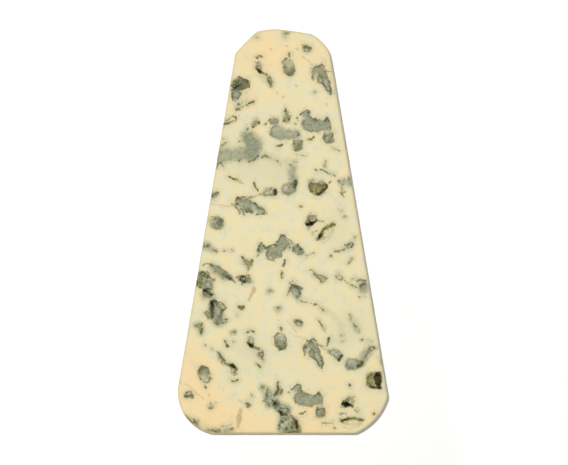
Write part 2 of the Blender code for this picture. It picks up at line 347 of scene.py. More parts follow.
# %% Patches and bubbles
MARKS |= {
    "right_patch": {
        "body": [
            [(-3.3, 3, 0.6), (-2.6, 3.5, 0.7), (-2.4, 2.6, 0.7)], [(-2.3, 2.2, 0.7), (-2.4, 1.2, 0.9)],
            [(-2.2, 0.1, 1.7), (-1, 0, 1.8), (0.4, -0.3, 1.7)], [(1.4, -0.3, 1.4), (3, 0.2, 1.4)],
            [(3.1, 1.3, 0.6)], [(3.5, -3.6, 1.15), (3.6, -4, 1.15)],
        ],
        "cloud": [[(3.3, -1.4, 0.7), (3.5, -2.6, 0.7)], [(-3.4, 0.8, 0.6)]],
        "pale": [[(3.2, -1.6, 0.4), (3.4, -2.3, 0.4)], [(3.3, -3.5, 0.35)], [(-0.4, -0.8, 0.3)]],
        "thread": [
            [(-4.4, 3, 0.32), (-3.6, 3.8, 0.2), (-2.6, 4.3, 0.22), (-2, 4, 0.26), (-2, 3, 0.2)],
            [(-1.9, 2.7, 0.16), (-1.5, 2.1, 0.24), (-0.4, 1.8, 0.16), (0.2, 1.3, 0.26)],
            [(1, 1.5, 0.26)], [(1.8, 1.1, 0.12), (2.6, 1.4, 0.16), (3.2, 2.1, 0.28), (3.6, 1, 0.14)],
            [(4.2, -0.4, 0.22), (4, -1.2, 0.14)], [(-5.3, 2.1, 0.26)],
            [(2.6, -2.4, 0.24), (2.3, -3.6, 0.2), (2.5, -4.6, 0.12)],
            [(4.6, -2.6, 0.28), (4.8, -3.8, 0.16)], [(2.9, -2.9, 0.12), (3.6, -3, 0.12)],
        ],
        "shade": [[(3.9, -4.2, 0.5), (4.5, -4.5, 0.35)]],
        "haze": [[(-2.6, 1.4, 1.3)], [(3.6, -2, 1.5)]],
        "hollow": [
            [(-0.6, 0, 2.0, 0.5)], [(-2.3, 0.3, 1.6, 0.45)], [(1.4, 0, 1.4, 0.45)],
            [(3, 0.4, 1.3, 0.45)], [(3.6, -4, 1.3, 0.8)], [(3.9, -3.2, 0.9, 0.6)],
        ],
    },
    "left_patch": {
        "body": [
            [(-3.8, 2.9, 0.5), (-2.9, 3.4, 0.75), (-2.3, 3, 0.75)], [(3.9, -3.8, 1.2)],
            [(-2.6, 1.8, 0.24), (-3.7, 0.8, 0.24), (-3.7, -0.4, 0.24), (-2.6, -1.3, 0.26), (-0.6, -1.5, 0.26),
             (3, -1.3, 0.26)],
        ],
        "cloud": [
            [(-2.2, 0.2, 1.9), (-1.2, -0.1, 1.8), (0.6, -0.3, 1.4), (3.4, -0.4, 1.3)], [(-2.3, 2.2, 0.6)],
            [(3.6, -2, 0.7)],
        ],
        "pale": [[(3.4, -1.6, 0.45), (3.6, -2.3, 0.4)], [(-2.4, 2, 0.26)], [(3.3, -3.4, 0.35)]],
        "thread": [
            [(-4.3, 3.1, 0.28), (-3.7, 3.8, 0.12)], [(-5.3, 2.4, 0.28), (-4.9, 2.6, 0.16)],
            [(-2.6, 1.8, 0.24)], [(4, -0.4, 0.18), (3.6, -0.9, 0.14)], [(2.9, -1.6, 0.2)],
            [(2.9, -2.4, 0.26), (2.6, -3.6, 0.2)], [(4.9, -2.5, 0.34), (5, -3.6, 0.2)],
            [(3.3, -3.7, 0.14), (4.1, -3.3, 0.14)], [(3.2, -5, 0.3)],
        ],
        "shade": [[(3.9, -4.3, 0.55), (4.7, -4.4, 0.4)]],
        "haze": [[(-1.8, 2.2, 1.2)], [(4, -2, 1.3)]],
        "hollow": [
            [(-0.6, -0.2, 1.8, 0.5)], [(-2.3, 0.3, 1.6, 0.45)], [(1.4, -0.4, 1.2, 0.4)],
            [(3, -0.4, 1.1, 0.4)], [(3.6, -4, 1.3, 0.8)], [(3.9, -3.2, 0.9, 0.6)],
        ],
    },
    "dash": {
        "thread": [[(-0.9, -0.3, 0.12), (0.2, -0.2, 0.2), (0.7, 0.3, 0.2)]],
        "olive": [[(-0.9, -0.2, 0.2), (0.2, -0.1, 0.26), (0.7, 0.3, 0.26)]],
    },
    "smoke": {
        "cloud": [
            [(-1.6, 4.2, 1.5), (-0.6, 3.4, 2.2), (1.1, 1.2, 2.3)], [(0.2, -1, 2.4), (-1.6, -1, 1.9)],
            [(-8.3, -1.6, 2.3), (-5, -1.4, 1.8), (-2, -1, 2)], [(-1.4, 5.6, 0.5)],
        ],
        "body": [[(-0.8, 3.4, 1.2), (0.8, 1.2, 1.5), (0, -0.8, 1.6)]],
        "thread": [
            [(2.1, -1.4, 0.16), (0.8, -2.9, 0.28), (-0.5, -3.4, 0.2)], [(-1.9, 5, 0.2)],
            [(-1.1, 5.8, 0.12), (-1, 6.4, 0.1)], [(-3.2, 2.6, 0.16)], [(-3.1, -3, 0.2), (-2.9, -2.4, 0.12)],
        ],
        "olive": [[(-8.4, 1.2, 0.5), (-7.2, 1.8, 0.4)]],
        "haze": [[(2, 2, 2.4), (0, -1, 2.6), (-6, -1, 2.4)], [(-7, 1.4, 1.4)], [(3.4, -0.6, 1.2)]],
    },
    "curl": {
        "thread": [
            [(-1.2, -0.9, 0.24), (-0.7, 0.3, 0.3), (0.1, 0.6, 0.26), (0.6, 0, 0.16), (1.3, -0.6, 0.12)],
        ],
        "haze": [[(-0.3, -0.2, 0.9), (0.7, 0, 0.7)]],
    },
    "moustache": {
        "thread": [
            [(-1.1, -0.3, 0.26), (-0.3, 0.4, 0.28), (0.5, 0, 0.2), (1.5, -0.5, 0.1)],
            [(3.3, -1.3, 0.3)], [(3.9, -2, 0.12)],
        ],
        "haze": [[(0, 0, 1), (2.6, -1, 1.1)]],
    },
    "plume": {
        "cloud": [
            [(-1.2, -0.9, 1.4), (0, 0, 1.5), (1.2, 1.6, 1.1)],
            [(1, 2.4, 1.1), (0.4, 3.8, 1), (0.7, 5.6, 0.8)],
            [(1.3, 7.2, 0.5)],
        ],
        "body": [[(-0.8, -1.4, 1.1), (0.4, -0.2, 1.1)]],
        "pale": [[(-1.4, -0.6, 0.6), (-0.4, 0.4, 0.5)]],
        "shade": [[(1.4, 1.6, 0.6), (1.3, 0, 0.55)]],
        "thread": [
            [(1.4, 2, 0.22), (1.5, 1, 0.36), (1.35, 0.2, 0.38)], [(0.1, 6.4, 0.22)], [(0.9, 5.2, 0.16)],
            [(1.1, 7.4, 0.14)], [(-0.2, 4.6, 0.12)], [(1, 3, 0.14)],
        ],
        "haze": [[(0.6, 2.5, 1.6), (0.6, 5, 1.8), (-0.6, 7.4, 1.3)]],
        "hollow": [[(0.1, -0.2, 1.6, 1.1)], [(-0.9, -0.6, 1.5, 0.9)], [(1.1, 0.9, 0.9, 1.1)]],
    },
    "hook": {
        "thread": [
            [(-1.9, 0.8, 0.28), (-1.2, 0.6, 0.2), (0, -0.1, 0.19), (1, -0.5, 0.15), (2.1, -0.8, 0.1)],
        ],
        "haze": [[(-0.5, 3, 0.6), (-0.7, 1.6, 0.6)], [(0.2, 0, 0.7), (2, -0.3, 0.7)]],
        "olive": [[(-0.5, 3.4, 0.2), (-0.8, 1.6, 0.24)]],
    },
    # The shade and rust on this hollow's right and lower side are painted shade on its far walls.
    "olive_hollow": {
        "body": [[(-2.2, 1.4, 0.5), (-1.9, 0, 0.5), (-1.6, -1, 0.4)]],
        "cloud": [[(-2.2, 2, 0.6), (-0.8, 1.8, 0.4)]],
        "olive": [
            [(-2.3, 1, 0.3), (-0.4, 1.15, 0.4), (2.6, 0.85, 0.34), (2.4, -0.2, 0.3), (1.2, -0.8, 0.3),
             (0.4, -1.7, 0.3), (-1.4, -1.4, 0.3), (-1.9, -0.1, 0.3), (-2.3, 1, 0.3)],
            [(-1, 0.2, 1), (0.9, 0.2, 1)], [(-0.5, -0.6, 0.8)],
        ],
        "shade": [[(0.2, 0.8, 0.4), (2.2, 0.6, 0.6), (1.2, -0.4, 0.5)], [(0.2, -1.3, 0.5)]],
        "rust_and_shade": [
            [(2.5, 0.7, 0.36), (2.2, -0.1, 0.4), (1.2, -0.8, 0.34), (0.4, -1.6, 0.4), (-0.6, -1.6, 0.16)],
        ],
        "haze": [[(-1.8, 2.2, 1), (1, 2.2, 0.9)]],
        "thread": [[(3.2, 1.4, 0.14), (3.5, 2, 0.24)]],
        "hollow": [
            [(0.9, 0.3, 1.6, 2.4)], [(-1.4, 0.4, 1.3, 1.6)], [(0.2, -0.8, 1.3, 2.0)],
            [(-0.3, 0.4, 1.3, 1.6)],
        ],
    },
    "speckle": {
        "thread": [
            [(-1.1, 0.2, 0.32)], [(0.1, 0.3, 0.16)], [(0.7, 0.7, 0.16)], [(0.2, -0.6, 0.16)],
            [(-0.4, -1.2, 0.14)], [(1.9, 1, 0.28), (1.6, 0.4, 0.14)],
            [(-0.6, -2.9, 0.18), (-0.1, -3.6, 0.2), (0.3, -4.2, 0.18)],
        ],
        "body": [[(2, 0.8, 0.5), (2.3, -0.6, 0.5)]],
        "cloud": [[(-0.6, -0.3, 0.5), (0.8, 0, 0.6)]],
        "olive": [[(-0.4, -1.4, 0.3), (-0.2, -2.8, 0.3)], [(-0.1, -3.3, 0.26), (0.6, -3.1, 0.16)]],
        "haze": [[(-0.8, 0.2, 1.3), (1, 0, 1.6)], [(0, -2.4, 1.1)]],
    },
    "thorn": {
        "tan": [[(0.2, 0, 0.45), (1.6, -0.6, 0.45), (2.7, -1.2, 0.25)]],
        "olive": [[(-1.2, 0.5, 0.26), (0, 0, 0.36), (0.9, -0.4, 0.2)]],
        "thread": [[(-1.3, 0.6, 0.18), (-0.3, 0.2, 0.22), (0.2, -0.3, 0.14)]],
    },
    "sliver": {
        "olive": [[(-0.5, 0.8, 0.4), (0.1, 0, 0.42), (0.7, -0.9, 0.22)]],
        "thread": [[(-0.4, 0.8, 0.24), (0.1, 0, 0.28), (0.7, -0.9, 0.14)]],
        "haze": [[(0, 0, 0.9)]],
    },
    # The rust at this mark's right end is painted shade in its deepest bubble.
    "seed": {
        "cloud": [[(-2.4, -0.5, 0.5), (-1, 0.1, 0.9), (0.3, 0.3, 1)]],
        "pale": [[(-1.2, 0, 0.6), (0, 0.4, 0.6)]],
        "olive": [[(-1.8, -0.5, 0.3), (-0.4, -0.5, 0.4)]],
        "rust_and_shade": [[(1.1, 0.8, 0.34), (1.2, -0.4, 0.4)]],
        "thread": [
            [(1, 1, 0.2), (1.1, 0, 0.36), (1.4, -0.8, 0.2)], [(-1.4, 0.8, 0.1), (0.6, 1.3, 0.12)],
            [(-2.4, -0.4, 0.09), (-4, -1, 0.09), (-6, -1.3, 0.1)],
        ],
        "haze": [[(-1.4, -0.2, 1.2), (0, -0.8, 1)]],
        "hollow": [[(0, 0, 0.9, 1.0)], [(-1.4, -0.2, 0.7, 0.7)], [(1.1, 0, 0.8, 1.5)]],
    },
    "rim_spot": {
        "body": [[(-0.4, -0.2, 0.75), (0.4, 0.3, 0.55)]],
        "thread": [[(-0.7, -0.2, 0.28), (0.1, 0.3, 0.18), (0.7, 0.8, 0.24)], [(0.5, -0.4, 0.14)]],
        "haze": [[(0, 0, 1.3)]],
    },
    "bowl": {
        "body": [[(0.2, -0.3, 1.4)], [(0.5, 0.4, 1.2)]],
        "cloud": [[(0.1, 0, 1.7)]],
        "pale": [[(-0.8, 0.4, 0.4)]],
        "shade": [[(0.9, 0.9, 0.6), (0.9, -0.5, 0.7)]],
        "thread": [
            [(-1.8, 1.9, 0.1), (-2.4, 1, 0.09)], [(-1.4, 1.9, 0.1), (-0.6, 1.8, 0.12)],
            [(1.1, 1.2, 0.14), (1.3, 0, 0.18)],
        ],
        "haze": [[(-0.8, 0.6, 1.9)]],
        "hollow": [[(0, 0, 1.8, 0.9)], [(0.5, -0.5, 1.5, 1.0)]],
    },
    "leaf": {
        "body": [
            [(-3.4, 1.9, 0.65), (-1.7, 1.3, 0.95), (0, 0.4, 0.95), (1.6, -0.4, 0.75), (2.6, -1.3, 0.6)],
            [(-1.9, -0.3, 0.85), (-0.4, -1, 0.8)], [(-3.8, 0.6, 0.45)],
            [(2.4, -2, 0.4), (3.8, -1.9, 0.4)],
        ],
        "pale": [
            [(-2.7, 0.2, 0.4), (-2.1, -0.9, 0.35)],
            [(0.5, -0.2, 0.34), (1.7, -1.3, 0.5), (3, -1.9, 0.35)], [(-1.2, 0.4, 0.2)],
            [(0.6, -2, 0.3)],
        ],
        "shade": [[(-1.4, -1.1, 0.5), (0.2, -1.4, 0.5)], [(-2.8, 2, 0.4)]],
        "thread": [
            [(-4, 1.3, 0.24), (-3.6, 2.2, 0.3), (-2.7, 2.5, 0.22), (-1, 2.5, 0.18), (0.2, 2.2, 0.12)],
            [(-3.5, 2.6, 0.28)],
            [(-0.6, 1.5, 0.14), (1.2, 0.8, 0.18), (2.6, -0.6, 0.22), (3.8, -1.2, 0.32),
             (4.6, -2.2, 0.2)], [(1.8, -2.6, 0.18), (3, -2.4, 0.16), (4, -2.2, 0.14)],
            [(-4.2, 0.2, 0.2), (-3.4, -1, 0.22), (-2.9, -2.2, 0.2)],
            [(-3.6, 0.8, 0.12), (-2.6, -0.6, 0.14), (-1.6, -2.6, 0.24)],
            [(-1.2, -1.7, 0.3), (0.4, -1.9, 0.24), (1, -1.5, 0.12)],
            [(-0.6, 2.2, 0.08), (1.4, 2.5, 0.09), (3.4, 3.4, 0.08)],
        ],
        "olive": [[(-5.4, 0.5, 0.24), (-4.8, 0.6, 0.2)]],
        "haze": [[(-3, 0.6, 1.6), (0, 0, 1.6), (3, -1.6, 1.0)]],
        "hollow": [
            [(-1.2, 0.5, 1.5, 0.6)], [(-3.1, 1.1, 1.2, 0.5)], [(0.8, -0.3, 1.3, 0.6)],
            [(2.8, -1.0, 0.8, 0.5)],
        ],
    },
    # Its nearly black pit is painted shade in a deep bubble, over dark mould.
    "black_pit": {
        "pit": [[(-1, -0.9, 0.26), (0, -0.4, 0.6), (0.8, 0, 0.34)]],
        "thread": [
            [(-1, -1, 0.3), (0, -0.5, 0.66), (1.1, 0.2, 0.34)], [(1.6, 0.6, 0.34)], [(1.2, 1.8, 0.24)],
            [(0.1, 2.5, 0.18)], [(-0.6, -1.8, 0.22)], [(-0.9, 0.8, 0.12)], [(-0.2, 1.5, 0.14)],
            [(0.5, 1.2, 0.12)],
        ],
        "cloud": [[(0, 0.7, 0.8), (0.9, 0.8, 0.6)]],
        "olive": [[(1.4, 0.4, 0.45)], [(-0.2, 0.9, 0.4)]],
        "haze": [[(0, 1.4, 1.5)], [(-0.6, -1.8, 0.7)]],
        "hollow": [[(0.2, 0.9, 1.2, 1.2)], [(-0.4, -0.4, 1.0, 3.0)]],
    },
    "crescent": {
        "thread": [
            [(-1.9, -2.2, 0.55), (-1.3, -1.4, 0.5), (-0.9, -0.6, 0.34)],
            [(-0.6, -0.2, 0.18), (0.4, 0.8, 0.2)], [(1.6, 1.5, 0.24), (2.4, 1.7, 0.28)],
            [(-3.5, -0.8, 0.14), (-2.9, -0.1, 0.18), (-2.2, 0.2, 0.14)], [(-1.6, 2.8, 0.08), (0, 2.7, 0.08)],
        ],
        "pit": [[(-1.8, -2.1, 0.2), (-1.3, -1.2, 0.26)]],
        "olive": [[(-1.2, -1, 0.6), (-0.4, 0.3, 0.5), (0.6, 1.1, 0.55), (2.3, 1.8, 0.56)]],
        "tan": [[(2.7, 1.2, 0.16), (2.4, -0.6, 0.15), (1.2, -2.2, 0.16), (-0.4, -3.3, 0.16)]],
        "haze": [[(-2, -1.6, 1), (0, 0, 0.9), (2, 1.2, 0.9)]],
        "hollow": [[(0.2, -0.6, 1.2, 1.1)], [(-0.9, -1.5, 0.9, 1.4)], [(1.4, 0.4, 1.0, 0.8)]],
    },
    "heart": {
        "body": [
            [(-2.2, 0.2, 0.95), (-1.6, -1.4, 1.8), (-0.2, -0.9, 1.5)],
            [(0.2, 1, 1.2), (1.3, 2, 1.2), (1.5, 3.5, 0.65)], [(1.2, 0.6, 1.4), (2.6, 1.7, 0.95)],
            [(-4.6, 1.3, 0.65), (-4.8, 0.1, 0.75)], [(-3.6, 0.7, 0.4)],
            [(5.6, 0.6, 1), (6.3, -0.5, 1.2)],
        ],
        "cloud": [[(3.4, 1.6, 0.9), (4.6, 1, 0.7)]],
        "thread": [
            [(-4.6, 2, 0.22), (-5.1, 0.8, 0.14), (-5.4, -0.4, 0.3)],
            [(-3.8, 1.1, 0.28), (-3.4, 0.4, 0.24)], [(-5.5, -1.9, 0.28), (-5.2, -1.5, 0.12)],
            [(-2.9, 0.6, 0.16), (-1.9, 1.1, 0.2), (-1, 1.4, 0.26), (-0.1, 1.2, 0.16)],
            [(1.6, 4.1, 0.3), (2.4, 3.3, 0.12), (3.6, 2.6, 0.14), (4.2, 2.1, 0.2)],
            [(1.3, 4.1, 0.26), (0.6, 2.8, 0.12)], [(0.2, 2.1, 0.26)], [(3.4, 0.6, 0.2), (3.8, 0.3, 0.12)],
            [(4.5, 0.8, 0.16), (4.7, -0.4, 0.24)], [(5.9, 1.5, 0.3)], [(6.5, 0.2, 0.3), (7.3, 0.1, 0.18)],
            [(-2.9, -0.8, 0.24)],
        ],
        "pale": [
            [(3.9, 1.2, 0.45), (4.7, 0.9, 0.36)], [(5.7, 0.2, 0.25)], [(5.6, -0.9, 0.3)], [(-2, -2.3, 0.4)],
        ],
        "shade": [[(6.6, -0.3, 0.5)]],
        "haze": [[(-4.6, -0.5, 1.1)], [(4, 0.6, 1.2)]],
        "hollow": [
            [(-1.6, -1.3, 1.9, 0.5)], [(0, -0.5, 1.5, 0.55)], [(1.4, 1.3, 1.5, 0.5)],
            [(1.5, 2.8, 0.8, 0.4)], [(6.2, -0.2, 1.3, 0.9)],
        ],
    },
    "comma": {
        "thread": [[(0.3, 0.8, 0.24), (0.3, 0, 0.2), (-0.3, -0.9, 0.22)]],
        "olive": [[(0.3, 0.7, 0.34), (0.3, 0, 0.3), (-0.3, -0.8, 0.34)]],
    },
    "bean": {
        "olive": [[(0.1, 0.6, 0.34), (-0.1, -0.7, 0.32)]],
        "thread": [[(0.2, 0.4, 0.16), (0, -0.3, 0.13)]],
    },
    "smear": {
        "olive": [[(0.5, 0.9, 0.22), (-0.4, -0.6, 0.36)]],
        "haze": [[(0.3, 0.6, 0.8), (-0.3, -0.6, 0.9)]],
    },
    "feather": {
        "thread": [
            [(-3.1, -1.3, 0.24), (-1.7, -1, 0.22), (-0.4, -0.9, 0.16), (0.7, -0.4, 0.12)],
            [(-0.3, 0.5, 0.24)], [(0.4, 0.3, 0.12), (1.7, 1.3, 0.12)],
            [(2.4, 2.6, 0.22), (2.8, 3.1, 0.12)], [(1.5, 0.1, 0.26), (2, 0.8, 0.14)],
        ],
        "body": [[(0.4, 0.1, 0.45), (1.3, 0.6, 0.6)]],
        "pale": [[(0.9, 0.2, 0.28), (1.3, 0.7, 0.22)]],
        "haze": [[(-1.6, -1, 0.8), (1, 0.2, 1.3), (2.2, 2.2, 0.9)]],
    },
}
print("marks so far:", len(MARKS))

# %% [markdown]
# ## Marks of the wide end
# Towards the wide end the mould stands closer, above all in the thicket along the left wall. Its
# marks are small bodies tied together by threads. The single specks, streaks and hairlines of the
# whole face follow. They are faint, but without them the paste would look like plastic.

# %% Thicket and specks
MARKS |= {
    "edge_tuft": {
        "cloud": [[(-0.8, 0.2, 0.7), (0.4, 0.2, 0.7)], [(0.8, -0.8, 0.4), (2, -1.4, 0.3)]],
        "body": [[(-0.8, 0, 0.4), (0.3, 0.2, 0.4)]],
        "thread": [[(-1.1, 0, 0.26)], [(-0.2, 0.2, 0.16)], [(1.3, -0.9, 0.12), (2.5, -1.7, 0.14)]],
        "haze": [[(-0.4, 0.2, 1.4), (1.6, -1.2, 1)]],
    },
    "olive_drop": {
        "cloud": [[(-0.4, 0.2, 0.7), (0.5, -0.5, 0.9)]],
        "olive": [
            [(-1.4, 1.3, 0.3), (-1, 0.6, 0.46), (0, 0, 0.7), (0.7, -0.7, 0.75), (0.3, -1.8, 0.3)],
            [(1.2, 0.5, 0.36)],
        ],
        "thread": [
            [(-1.4, 1.3, 0.26), (-1, 0.6, 0.14)], [(1.3, 0.5, 0.16), (1.4, -0.7, 0.12)], [(0.3, -2, 0.16)],
        ],
        "haze": [[(0, 0, 1.4), (0.6, -1.6, 1.1)]],
    },
    "band": {
        "body": [[(-2.9, 1.7, 0.5), (-1, 0.6, 0.9), (0.6, -0.5, 0.95), (2.2, -1.8, 0.75)]],
        "cloud": [[(-1.6, 0.2, 1.1), (0.6, -1.2, 1)]],
        "thread": [
            [(-3, 2, 0.28), (-2.4, 1.6, 0.2)], [(-1.2, 1.4, 0.12), (0.2, 0.6, 0.14)],
            [(0.6, -1, 0.2), (1.8, -1.8, 0.3), (2.8, -2.2, 0.46)], [(3, -2.3, 0.2), (3.9, -3.2, 0.16)],
            [(-5.4, 1.7, 0.1), (-3.9, 2.1, 0.12), (-3, 2.3, 0.14)],
        ],
        "shade": [[(1, -0.8, 0.6), (2.6, -2, 0.6)]],
        "haze": [[(-2.4, 0.2, 1.5), (0.6, -2.2, 1.5)]],
    },
    "thicket": {
        "body": [[(-1.4, 1.4, 1.3), (0.2, 0.4, 1.8)], [(-0.8, -0.6, 1.8), (0.8, -1.3, 1.5)]],
        "cloud": [[(0.6, -1.4, 1.8)]],
        "olive": [[(-2.1, -0.2, 0.9), (-1.6, -1.4, 0.8)], [(-0.6, 1.6, 0.9)], [(0.4, -0.6, 0.6)]],
        "pale": [[(0.8, -1.2, 0.44)], [(-0.4, 0.1, 0.3)], [(1.2, 0.4, 0.3)]],
        "thread": [
            [(-2.2, 3, 0.28), (-2.5, 1.5, 0.26), (-2.4, -0.2, 0.34), (-2.5, -1.4, 0.26)],
            [(-1.4, 1.9, 0.14), (-0.7, 2.4, 0.13), (0, 1.9, 0.14), (-0.5, 1.3, 0.2)], [(0.7, 1.1, 0.42)],
            [(2.5, 0.1, 0.34)], [(1.5, 1.7, 0.2)], [(0.6, 2.5, 0.12), (1.2, 2.1, 0.12)], [(-1.3, -2.3, 0.2)],
            [(1.6, -1, 0.12)], [(-1.1, 0.3, 0.14), (-0.8, -0.8, 0.12)],
        ],
        "haze": [[(0, 0, 2.8)], [(2.4, -2, 1.2)]],
        "hollow": [[(-0.9, 0.9, 1.7, 0.6)], [(0.7, -0.2, 1.7, 0.7)]],
    },
    "knot": {
        "body": [[(-1, 0, 0.7), (0, -0.3, 0.9)]],
        "cloud": [[(-0.8, -0.6, 1.3), (0.6, -0.8, 1)]],
        "thread": [
            [(-1.2, 0.7, 0.4), (-0.1, 0.2, 0.42), (0.8, -0.6, 0.42)], [(-0.6, 1.1, 0.2), (0.3, 0.9, 0.2)],
            [(1.3, -0.5, 0.12), (2.1, -0.6, 0.1)], [(2.4, -1.2, 0.14)], [(1.9, -1.9, 0.1), (1.2, -1.6, 0.12)],
            [(-1, -0.4, 0.16)],
        ],
        "pit": [[(-1, 0.6, 0.24), (-0.3, 0.3, 0.16)], [(0.6, -0.5, 0.3)]],
        "pale": [[(1.8, -1.1, 0.3)]],
        "haze": [[(-0.6, -1, 2)]],
        "hollow": [[(0, -0.2, 1.3, 1.0)], [(0.8, 0.2, 0.8, 0.8)]],
    },
    "trunk": {
        "body": [[(-0.8, 1.8, 1), (0.6, 1.2, 1.1)], [(0.3, 0, 1.7)], [(0.4, -1.6, 1.5), (0.8, -2.6, 1.1)]],
        "cloud": [[(0.6, -1.6, 1.9), (0.8, -3, 1.3)], [(1.9, -3, 0.8), (2.9, -2.9, 0.5)]],
        "olive": [
            [(-2.3, -0.9, 0.8), (-2, -2, 0.5)], [(2, 1.9, 0.4), (2.6, 0.6, 0.4), (1.9, -0.8, 0.35)],
            [(0.4, -3.2, 0.6)],
        ],
        "shade": [
            [(-1.1, 1.8, 0.9), (-1.1, -1.4, 0.8)], [(0.3, 1.9, 0.6)], [(1.4, -0.6, 0.4), (0.6, -2.6, 0.4)],
        ],
        "pit": [[(-1, 2.2, 0.34), (-0.9, 1.2, 0.26)]],
        "thread": [
            [(-1.4, 2.6, 0.36), (-0.3, 2.5, 0.46), (0.4, 2.7, 0.26)],
            [(-1.1, 2, 0.5), (-1, 0.6, 0.4), (-0.9, -0.8, 0.26), (-1.1, -2.2, 0.24)],
            [(-2.7, -0.4, 0.16), (-2.9, -1, 0.14)], [(-2.2, -1.8, 0.2)],
            [(1.4, 2.4, 0.14), (2.5, 1.6, 0.14), (2.7, 0.5, 0.18), (1.8, -0.6, 0.14)],
            [(2.4, -2.4, 0.12), (3.5, -2.6, 0.1)], [(1.8, -3.6, 0.14), (3, -3.3, 0.1)],
            [(-0.4, -3.5, 0.12), (0.8, -4, 0.12)],
        ],
        "pale": [[(0.9, 0, 0.36), (0.8, -1, 0.36)]],
        "haze": [[(0, 0, 2.4), (1, -3, 2.1)]],
        "hollow": [[(0, 0, 1.7, 0.7)], [(-0.3, 2.2, 1.0, 1.1)], [(0.4, -2.2, 1.5, 0.6)]],
    },
    "ember": {
        "thread": [
            [(-1.8, 0.4, 0.36)], [(-1, 0.9, 0.14), (-0.4, 0.7, 0.3), (0.4, 0.6, 0.3), (1, 0.9, 0.16)],
            [(-0.6, -0.2, 0.4), (0, -0.6, 0.5), (0.7, -0.8, 0.55)], [(1.1, 1.6, 0.14)], [(-0.2, -1.4, 0.16)],
        ],
        "pit": [[(0.5, -0.7, 0.3)], [(-0.1, 0.6, 0.14)]],
        "body": [[(-0.6, 0, 0.8), (0.5, -0.1, 0.9)]],
        "olive": [[(1.7, -0.4, 1)], [(1.5, 0.8, 0.5)]],
        "haze": [[(-1.2, 0.3, 1.2), (1, -0.3, 1.8)]],
        "hollow": [[(0, 0, 0.9, 0.9)]],
    },
    "stain": {
        "tan": [[(0.7, 1.3, 0.6), (0.1, 0, 0.66), (-0.8, -2, 0.32)]],
    },
    "long_stain": {
        "tan": [[(0.4, 2.2, 0.5), (0, 0, 0.8), (-0.3, -2.3, 0.45)], [(-0.9, -1.6, 0.2)]],
    },
    "claw": {
        "cloud": [[(-0.8, 0, 0.9), (0.4, -0.6, 1.3), (0.6, -1.6, 0.8)]],
        "body": [[(0.2, 0.6, 0.8), (0.8, -0.6, 0.8)]],
        "pale": [[(-0.5, -0.3, 0.45), (0.2, -1, 0.5)]],
        "thread": [
            [(-2.2, -1, 0.14), (-1.6, 0.3, 0.24), (-0.9, 1.2, 0.3)],
            [(-0.9, 1.9, 0.24), (0.2, 1.6, 0.5), (1.1, 1, 0.46), (1.9, 0.6, 0.34)], [(-1.5, 2.4, 0.24)],
            [(-0.6, 2.8, 0.22)], [(1.2, 0.2, 0.22), (1.4, -0.6, 0.18)], [(0.5, -1.5, 0.26)],
            [(0.7, -2, 0.13), (1.8, -2.8, 0.13), (3, -3.2, 0.09)],
        ],
        "haze": [[(-0.6, 2.2, 1), (0, 0, 1.8), (1.4, -2.6, 1.2)]],
        "hollow": [[(0.2, 0.2, 1.4, 0.9)], [(0.7, -1.3, 0.8, 0.6)]],
    },
    "chain": {
        "thread": [
            [(-0.9, 0.9, 0.16), (-0.6, 0.5, 0.34), (0.3, -0.4, 0.24), (1.2, -1.6, 0.28)],
            [(-0.3, 0.9, 0.14), (1.2, -0.1, 0.14), (2.6, -0.4, 0.26), (2.5, -1, 0.2),
             (1.4, -1.7, 0.14)], [(1.2, -0.6, 0.12), (2, -0.9, 0.12)],
        ],
        "olive": [[(-2.1, 1.7, 0.14), (-1.4, 1.5, 0.22), (-0.8, 1.2, 0.2)]],
        "haze": [[(-0.6, 0.6, 1), (1.8, -1, 1.3)]],
    },
    "long_tail": {
        "thread": [
            [(-0.5, 0.1, 0.36)],
            [(-0.1, 0.5, 0.12), (0.9, 0.4, 0.13), (1.2, -0.3, 0.13), (0.6, -0.9, 0.14),
             (-0.3, -0.4, 0.14)],
            [(1, -0.5, 0.14), (2.4, -1.6, 0.14), (3.6, -2.3, 0.16), (5.4, -3.1, 0.12),
             (6.8, -3.7, 0.1)], [(3.6, -1.4, 0.11), (3.8, -0.6, 0.1), (4.6, -0.4, 0.09)],
        ],
        "haze": [[(0.3, 1.2, 1), (0.4, -0.2, 1.1)], [(2, -1.4, 0.6), (5, -3, 0.7)], [(4, -0.8, 0.7)]],
    },
    "right_tuft": {
        "thread": [
            [(-1.2, 0.9, 0.2), (-0.3, 1.3, 0.3), (0.9, 1.1, 0.42)], [(1.1, 0.4, 0.24)],
            [(-0.9, -0.2, 0.3), (0, 0, 0.36), (0.6, 0.2, 0.2)], [(-0.4, -0.7, 0.24)],
            [(-0.7, -3.3, 0.2)], [(0.6, -3.3, 0.15)],
        ],
        "body": [[(0.4, -0.6, 0.8), (0.7, 0.2, 0.6)]],
        "cloud": [[(0.4, -1.2, 1.2)]],
        "haze": [[(-0.6, 0.6, 1.1), (0.4, -1.2, 1.7)], [(-0.2, -3.2, 0.9)]],
    },
    "twin": {
        "thread": [
            [(-0.5, 0.1, 0.32), (0.2, 0, 0.2)], [(1.4, -0.8, 0.13), (2.2, -1.7, 0.15)],
            [(-1.4, 0.4, 0.09), (-3.6, 1, 0.09)],
        ],
        "haze": [[(0, 0, 0.8), (1.7, -1.2, 0.8), (4.4, -3, 0.8), (6.6, -4.8, 0.6)]],
    },
    "dot": {
        "thread": [[(0, 0, 0.32)], [(0.1, -0.1, 0.3)]],
        "haze": [[(0, 0, 0.5)]],
    },
    "faint_dot": {
        "olive": [[(0, 0, 0.2), (0.2, -0.1, 0.14)]],
        "haze": [[(0, 0, 0.6)]],
    },
    "tan_dot": {
        "tan": [[(-0.1, 0.1, 0.24), (0.2, -0.2, 0.2)]],
    },
    "soft_spot": {
        "cloud": [[(-0.4, 0, 0.4), (0.3, 0, 0.46)]],
        "olive": [[(-0.3, 0, 0.24), (0.3, 0, 0.26)]],
        "haze": [[(0, 0, 0.9)]],
    },
    "crumb_row": {
        "thread": [
